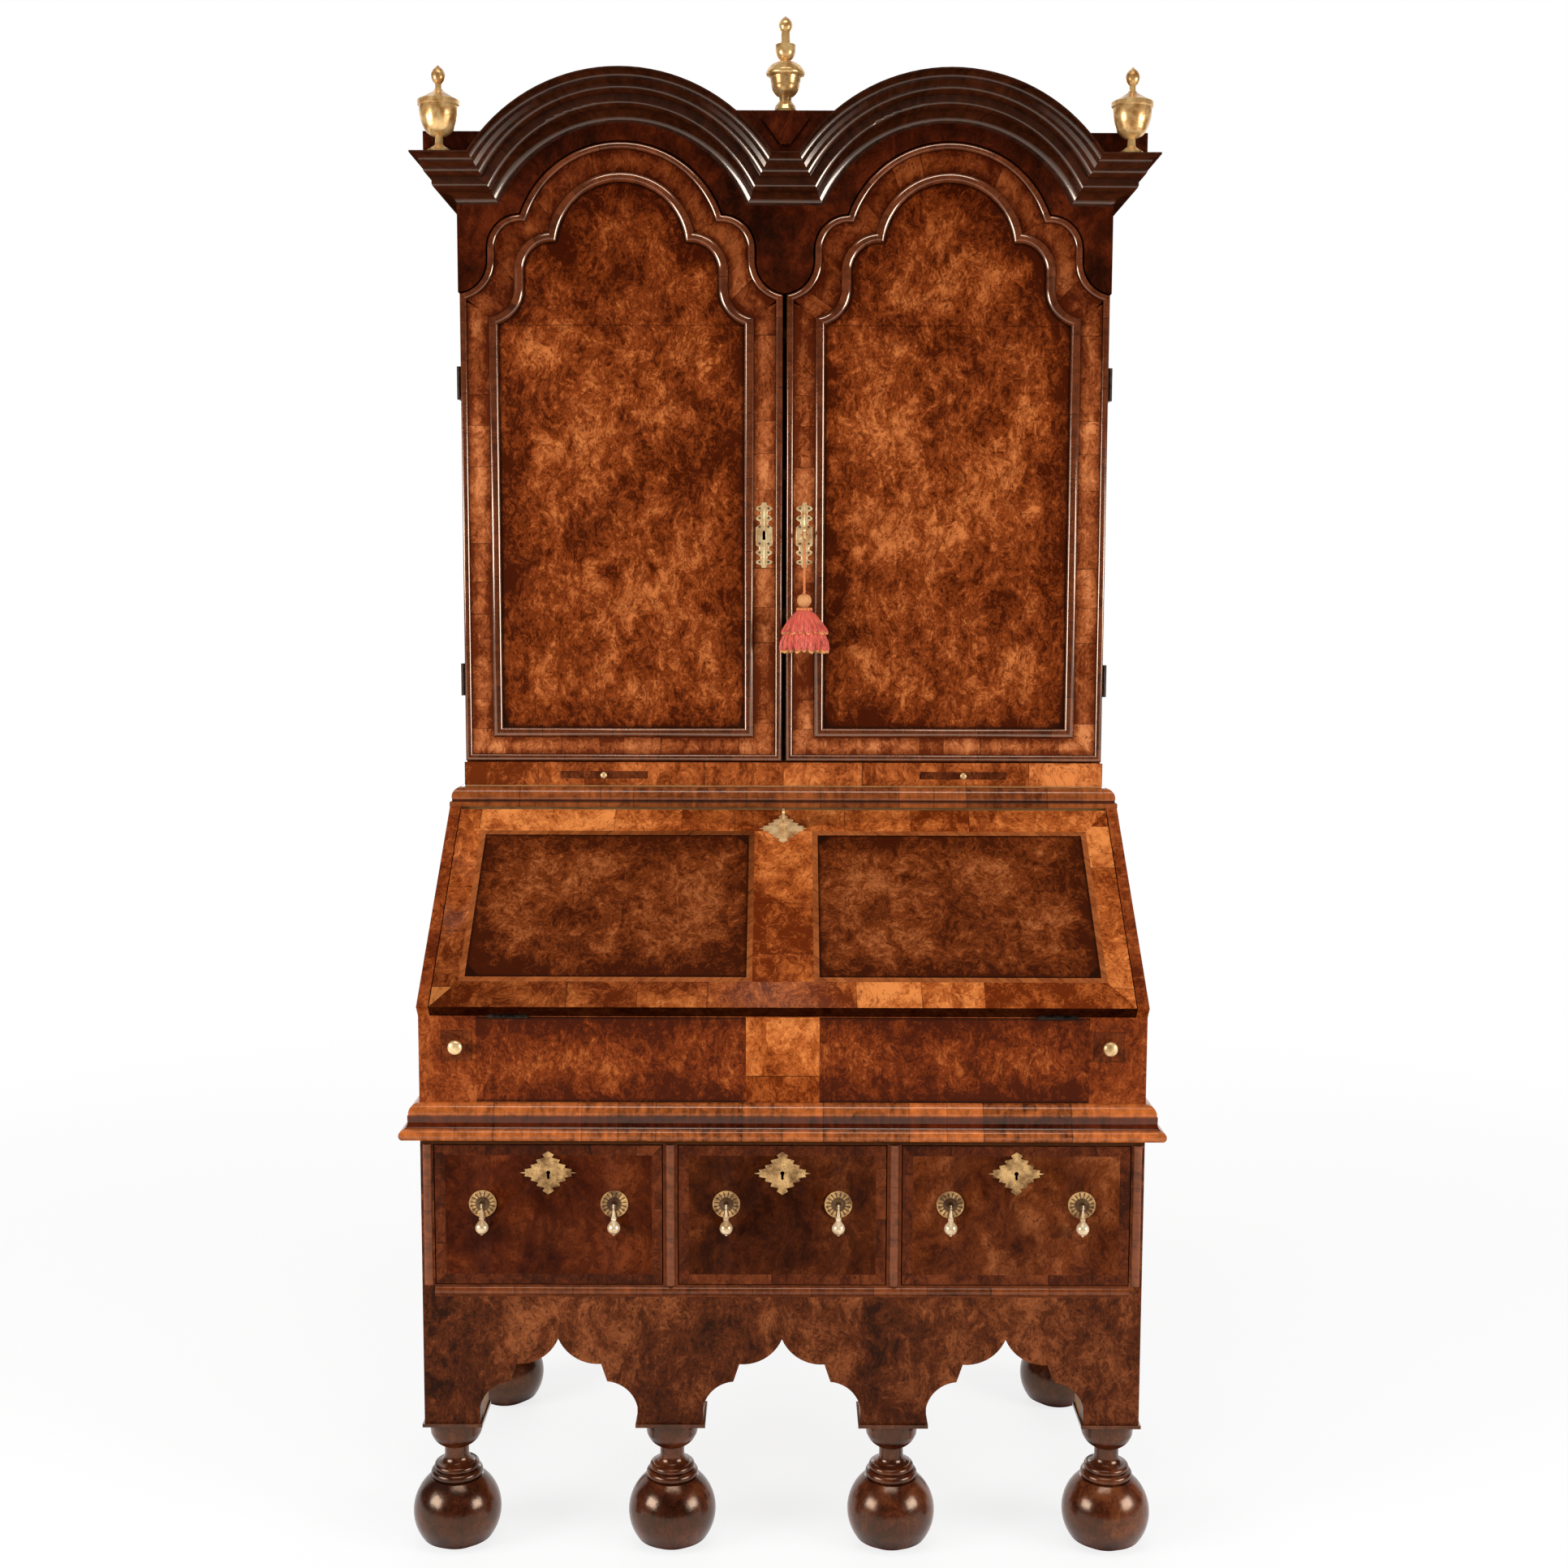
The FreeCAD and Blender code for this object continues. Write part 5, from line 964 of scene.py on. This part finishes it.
for name, x, shift in (("door_left", -door_x, 0.0), ("door_right", door_x, 1.7)):
    at_door = np.array((x, door_foot))
    sheets = []
    for grid in (lower, upper):
        lay = np.abs(grid - (0, field_joint)) + (0, shift)
        sheets += [(grid * (side, 1) + at_door, lay, inward(grid, field_edge)) for side in (1, -1)]
    leaves(name + "_field", sheets, place, field_burr, name, "walnut_burr")
    path = field_ring + at_door
    moulding = moulded(name + "_moulding", path, field_bead, place, door_bead, name, "walnut_banding")
    path = arch_ring + at_door
    bead = moulded(name + "_bead", path, rim_bead, place, door_bead, name, "walnut_banding")
    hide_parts(name + "_mouldings")
    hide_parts(name + "_mouldings")
    outer = set_off(arch_ring, -edge_bead) + at_door
    inside = set_off(field_ring, half) + at_door
    rails = np.stack([outer, outer, (outer + inside) / 2, inside, inside], 1)
    ringed(name + "_frame", rails, lifts, girth, place, door_band, name, "walnut_banding")

# The door escutcheons: pierced and winged brass plates with filed edges, pinned beside the meeting
# edges over iron lock plates.
plate_x, plate_z = 0.030, 1.434
plate_thickness, filed_width = 0.0014, 0.0005
slot_top, slot_foot, slot_half = 0.0065, -0.0070, 0.0024
lobe_hole_x, lobe_hole_z = 0.0066, (0.0125, 0.0255, 0.0398)
hole_inside, hole_outside = 0.0016, 0.0021
plate_wings = (
    (-0.0485, 0.0000), (-0.0480, 0.0034), (-0.0440, 0.0042), (-0.0425, 0.0108), (-0.0400, 0.0124),
    (-0.0375, 0.0110), (-0.0352, 0.0046), (-0.0318, 0.0048), (-0.0290, 0.0098), (-0.0262, 0.0124),
    (-0.0236, 0.0118), (-0.0210, 0.0072), (-0.0176, 0.0078), (-0.0150, 0.0124), (0.0118, 0.0124),
    (0.0140, 0.0080), (0.0170, 0.0056), (0.0200, 0.0064), (0.0226, 0.0116), (0.0254, 0.0124),
    (0.0280, 0.0096), (0.0306, 0.0048), (0.0340, 0.0050), (0.0370, 0.0112), (0.0396, 0.0124),
    (0.0420, 0.0104), (0.0440, 0.0044), (0.0476, 0.0036), (0.0485, 0.0000),
)


def half_plate(wings):
    """The right half of a pierced plate: its winged edge from the foot to the head, and back down the middle
    past half of a keyhole slot with an arched head."""
    slot = arc(0, slot_top - slot_half, slot_half, np.linspace(pi / 2, 0, 7))
    edge = np.array(wings)[:, ::-1]
    return np.maximum(np.vstack([edge, slot, [(slot_half, slot_foot), (0, slot_foot)]]), (1e-5, -1))


def pierced(middle):
    """Round piercings in the lobes of a plate, on both sides of its middle line."""
    def ground(x, y, z):
        off = abs(x - middle) - lobe_hole_x
        holes = 0.0
        for height in lobe_hole_z:
            up = abs(z - plate_z) - height
            reach = (off * off + up * up).by("SQRT")
            holes = reach.to(hole_inside, hole_outside, 1.0, 0.0).by("MAXIMUM", holes)
        return holes
    return ground


half = half_plate(plate_wings)
for name, x in (("door_left", -plate_x), ("door_right", plate_x)):
    plate_brass = brass_of(name + "_pierced", (186, 132, 78), (255, 224, 168), 0.26, pierced(x))
    sheets = [(half * (side, 1) + (x, plate_z), half) for side in (1, -1)]
    place = on_front(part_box(name + "_escutcheon")[1].y)
    plate = leaves(name + "_plate", sheets, place, plate_brass, name, "brass", plate_thickness)
    dark = oblong(x - slot_half, plate_z + slot_foot, x + slot_half, plate_z + slot_top)
    leaves(name + "_keyhole", [(dark, dark)], place, iron, name, "iron")
    edge = plate.modifiers.new("filed_edge", "BEVEL")
    edge.width = filed_width
    edge.segments = 2
    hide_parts(name + "_escutcheon")

# The key's tassel: a silk cord looped on the key's shank, with a bound head and a collar of gold loops
# over two tiers of red fringe edged in gold thread.
cord_top = (0.030, -0.01552, 1.4288)
cord_length, cord_core = 0.082, 0.030
cord_diameter = 0.0036
silk_red, silk_gold, silk_fold_shade = tint(196, 62, 40), tint(214, 150, 78), tint(92, 12, 8)
fold_depth = 0.006
flat_share = 0.6
collar_count, collar_ring, collar_radius = 13, 0.0098, 0.0026
collar_drop = -cord_length - 0.0225
loop_radius, loop_half_wide, loop_half_thick = 0.0041, 0.0011, 0.0018
head_outline = (
    (0.003, 0.0), (0.008, -0.002), (0.0105, -0.007), (0.0105, -0.012), (0.008, -0.016), (0.0045, -0.019),
    (0.003, -0.021),
)
upper_outline = (
    (0.004, -0.020), (0.010, -0.024), (0.018, -0.031), (0.026, -0.041), (0.0325, -0.050), (0.0345, -0.055),
    (0.033, -0.057),
)
lower_outline = (
    (0.018, -0.044), (0.0265, -0.053), (0.0320, -0.061), (0.0355, -0.071), (0.0362, -0.080),
    (0.0345, -0.0845),
)

silk_cord, tree, shader = new_material("silk_cord")
x, y, z = put(tree, "TexCoord")["Object"].parts()
turn = (x - cord_top[0]).by("ARCTAN2", y - cord_top[1])
strand = (z * 1500.0 + turn * 3.0).by("SINE")
shade = strand.to(-0.4, 0.6).blend(silk_gold, silk_red)
feed(tree, shader, {"Base Color": shade, "Normal": strand.bump(0.6, 0.0006), "Roughness": 0.6})

curve = bpy.data.curves.new("tassel_cord_silk", "CURVE")
curve.dimensions = "3D"
curve.bevel_depth = cord_diameter / 2
curve.bevel_resolution = 5
curve.use_fill_caps = True
spline = curve.splines.new("NURBS")
heights = np.linspace(cord_top[2], cord_top[2] - cord_length - cord_core, 6)
spline.points.add(len(heights) - 1)
spline.points.foreach_set("co", np.array([(*cord_top[:2], height, 1.0) for height in heights]).ravel())
spline.order_u = 3
spline.use_endpoint_u = True
curve.materials.append(silk_cord)
cord_piece = show("tassel_cord_silk", curve)
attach(cord_piece, "tassel")
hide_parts("tassel_cord")


def silk(name, dark, bright, gold_lines):
    """Silk threads that run down a skirt by its UV, crossed by a lattice of gold gimp and edged in gold, and
    painted darker in the folds as their shade.
    """
    material, tree, shader = new_material(name)
    u, v, w = put(tree, "TexCoord")["UV"].parts()
    threads = put(tree, "CombineXYZ", {0: u * 150.0, 1: v * 4.0})[0].noise(1.0, 3.0)
    shade = threads.to(0.3, 0.7).blend(tint(*dark), tint(*bright))
    lattice = 0.0
    for lean in (3.0, -3.0):
        line = abs((u * 17.0 + v * lean).by("FRACT") - 0.5)
        lattice = line.to(0.02, 0.07, gold_lines, 0.0).by("MAXIMUM", lattice)
    edging = (lattice * threads.to(0.42, 0.52)).by("MAXIMUM", v.to(0.88, 0.91, 0.0, 0.85))
    # Painted shade: ambient occlusion darkens the silk to a deep red in the folds between the bunched
    # threads.
    fold = put(tree, "AmbientOcclusion", {"Distance": fold_depth}, only_local=True, samples=8)["AO"]
    sockets = {
        "Base Color": fold.to(0.45, 0.95, 0.85, 0.0).blend(edging.blend(shade, silk_gold), silk_fold_shade),
        "Normal": (threads + edging).bump(0.7, 0.0008),
        "Roughness": 0.55,
        "Sheen Weight": 0.1,
    }
    feed(tree, shader, sockets)
    return material


def skirt(name, outline, pleats, depth, material, spins=240):
    """A soft shell of revolution, flattened front to back: each radius swells and draws in with the turn by a
    sum of two waves whose depth grows towards the foot, as threads in a fringe bunch together. The same waves
    raise and lower the hem."""
    shares = np.array(outline)
    fine = np.linspace(0, 1, 40)
    radius, height = (np.interp(fine, np.linspace(0, 1, len(shares)), share) for share in shares.T)
    turn = turns(spins)
    wave = np.sin(pleats * turn) + 0.5 * np.sin((pleats // 2 + 1) * turn + 1.3)
    ring = radius[:, None] * (1 + depth * fine[:, None] * (wave - 0.9))
    drop = height[:, None] - 0.02 * depth * fine[:, None] ** 4 * wave
    rows = np.stack([ring * np.cos(turn), flat_share * ring * np.sin(turn), drop], -1)
    rows = rows + (cord_top[0], cord_top[1], cord_top[2] - cord_length)
    points, faces = lathe(rows, rows[0].mean(0), rows[-1].mean(0))
    flat = np.stack(np.meshgrid(turn / (2 * pi), fine), -1).reshape(-1, 2)
    lay = np.vstack([flat, (0, 0), (0, 1)])[np.concatenate(faces)]
    return solid(name, points, faces, material, "tassel", "silk_fringe", lay, 50.0)


fringe = silk("fringe", (128, 20, 12), (244, 94, 70), 0.5)
gimp = silk("gimp", (176, 96, 44), (226, 160, 92), 0.4)
head = skirt("tassel_head", head_outline, 18, 0.03, gimp)
upper_tier = skirt("tassel_upper", upper_outline, 17, 0.1, fringe)
lower_tier = skirt("tassel_lower", lower_outline, 19, 0.1, fringe)
gold_loop, tree, shader = new_material("gold_loop")
strand = put(tree, "TexCoord")["Object"].noise(700.0, 3.0)
feed(tree, shader, {"Base Color": strand.to(0.3, 0.7).blend(silk_red, silk_gold), "Roughness": 0.6})
ring = arc(0, 0, collar_ring, turns(collar_count), flat_share * collar_ring)
centres = np.insert(ring, 2, collar_drop, 1) + cord_top
collar = solid("tassel_collar", *balls(centres, collar_radius, 7, 12), gold_loop, "tassel", "silk_fringe")
loop_path = arc(cord_top[0], plate_z, loop_radius, turns(48))
loop_profile = arc(0, 0, loop_half_wide, turns(12), loop_half_thick)
place = on_front(cord_top[1])
loop = moulded("tassel_loop", loop_path, loop_profile, place, silk_cord, "tassel", "silk_cord")
for piece in (head, collar, upper_tier, lower_tier, loop):
    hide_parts("tassel")

# The spandrel and the cornice: dark walnut, the spandrel veneered in burr and the arched and level
# mouldings glued up in short cross-grain pieces.
dome_x, dome_z, dome_radius = 0.2378, 1.83202, 0.23


def round_domes(x, y, z):
    """Way along the cornice: the arc about the nearer dome, and a share of Y for the sides."""
    return (abs(x) - dome_x).by("ARCTAN2", z - dome_z) * dome_radius + y * 0.6


# The spandrel's burr is set very dark: partly its own dark walnut and partly painted shade of the cornice
# above it.
figure = burr_of("Object", (26, 6, 1), (54, 15, 3), (86, 31, 8), fine=0.6)
spandrel_wood = waxed("spandrel_wood", figure, 0.36, shine=0.05)
dress(spandrel_wood, "spandrel_board", "plinth_blocks")
figure = across(round_domes, (27, 9, 3), (66, 29, 13), 0.08)
cornice_wood = waxed("cornice_wood", figure, 0.16, relief=0.08, shine=0.8, grime_and_shade=0.016, index=1.8)
dress(cornice_wood, "cornice_moulding")

# The finials: three gilt brass urns, turned in one piece with their knobs and feet, standing on the
# plinths.
gilt = brass_of("gilt", (158, 106, 50), (236, 194, 130), 0.22)
dress(gilt, "finials")
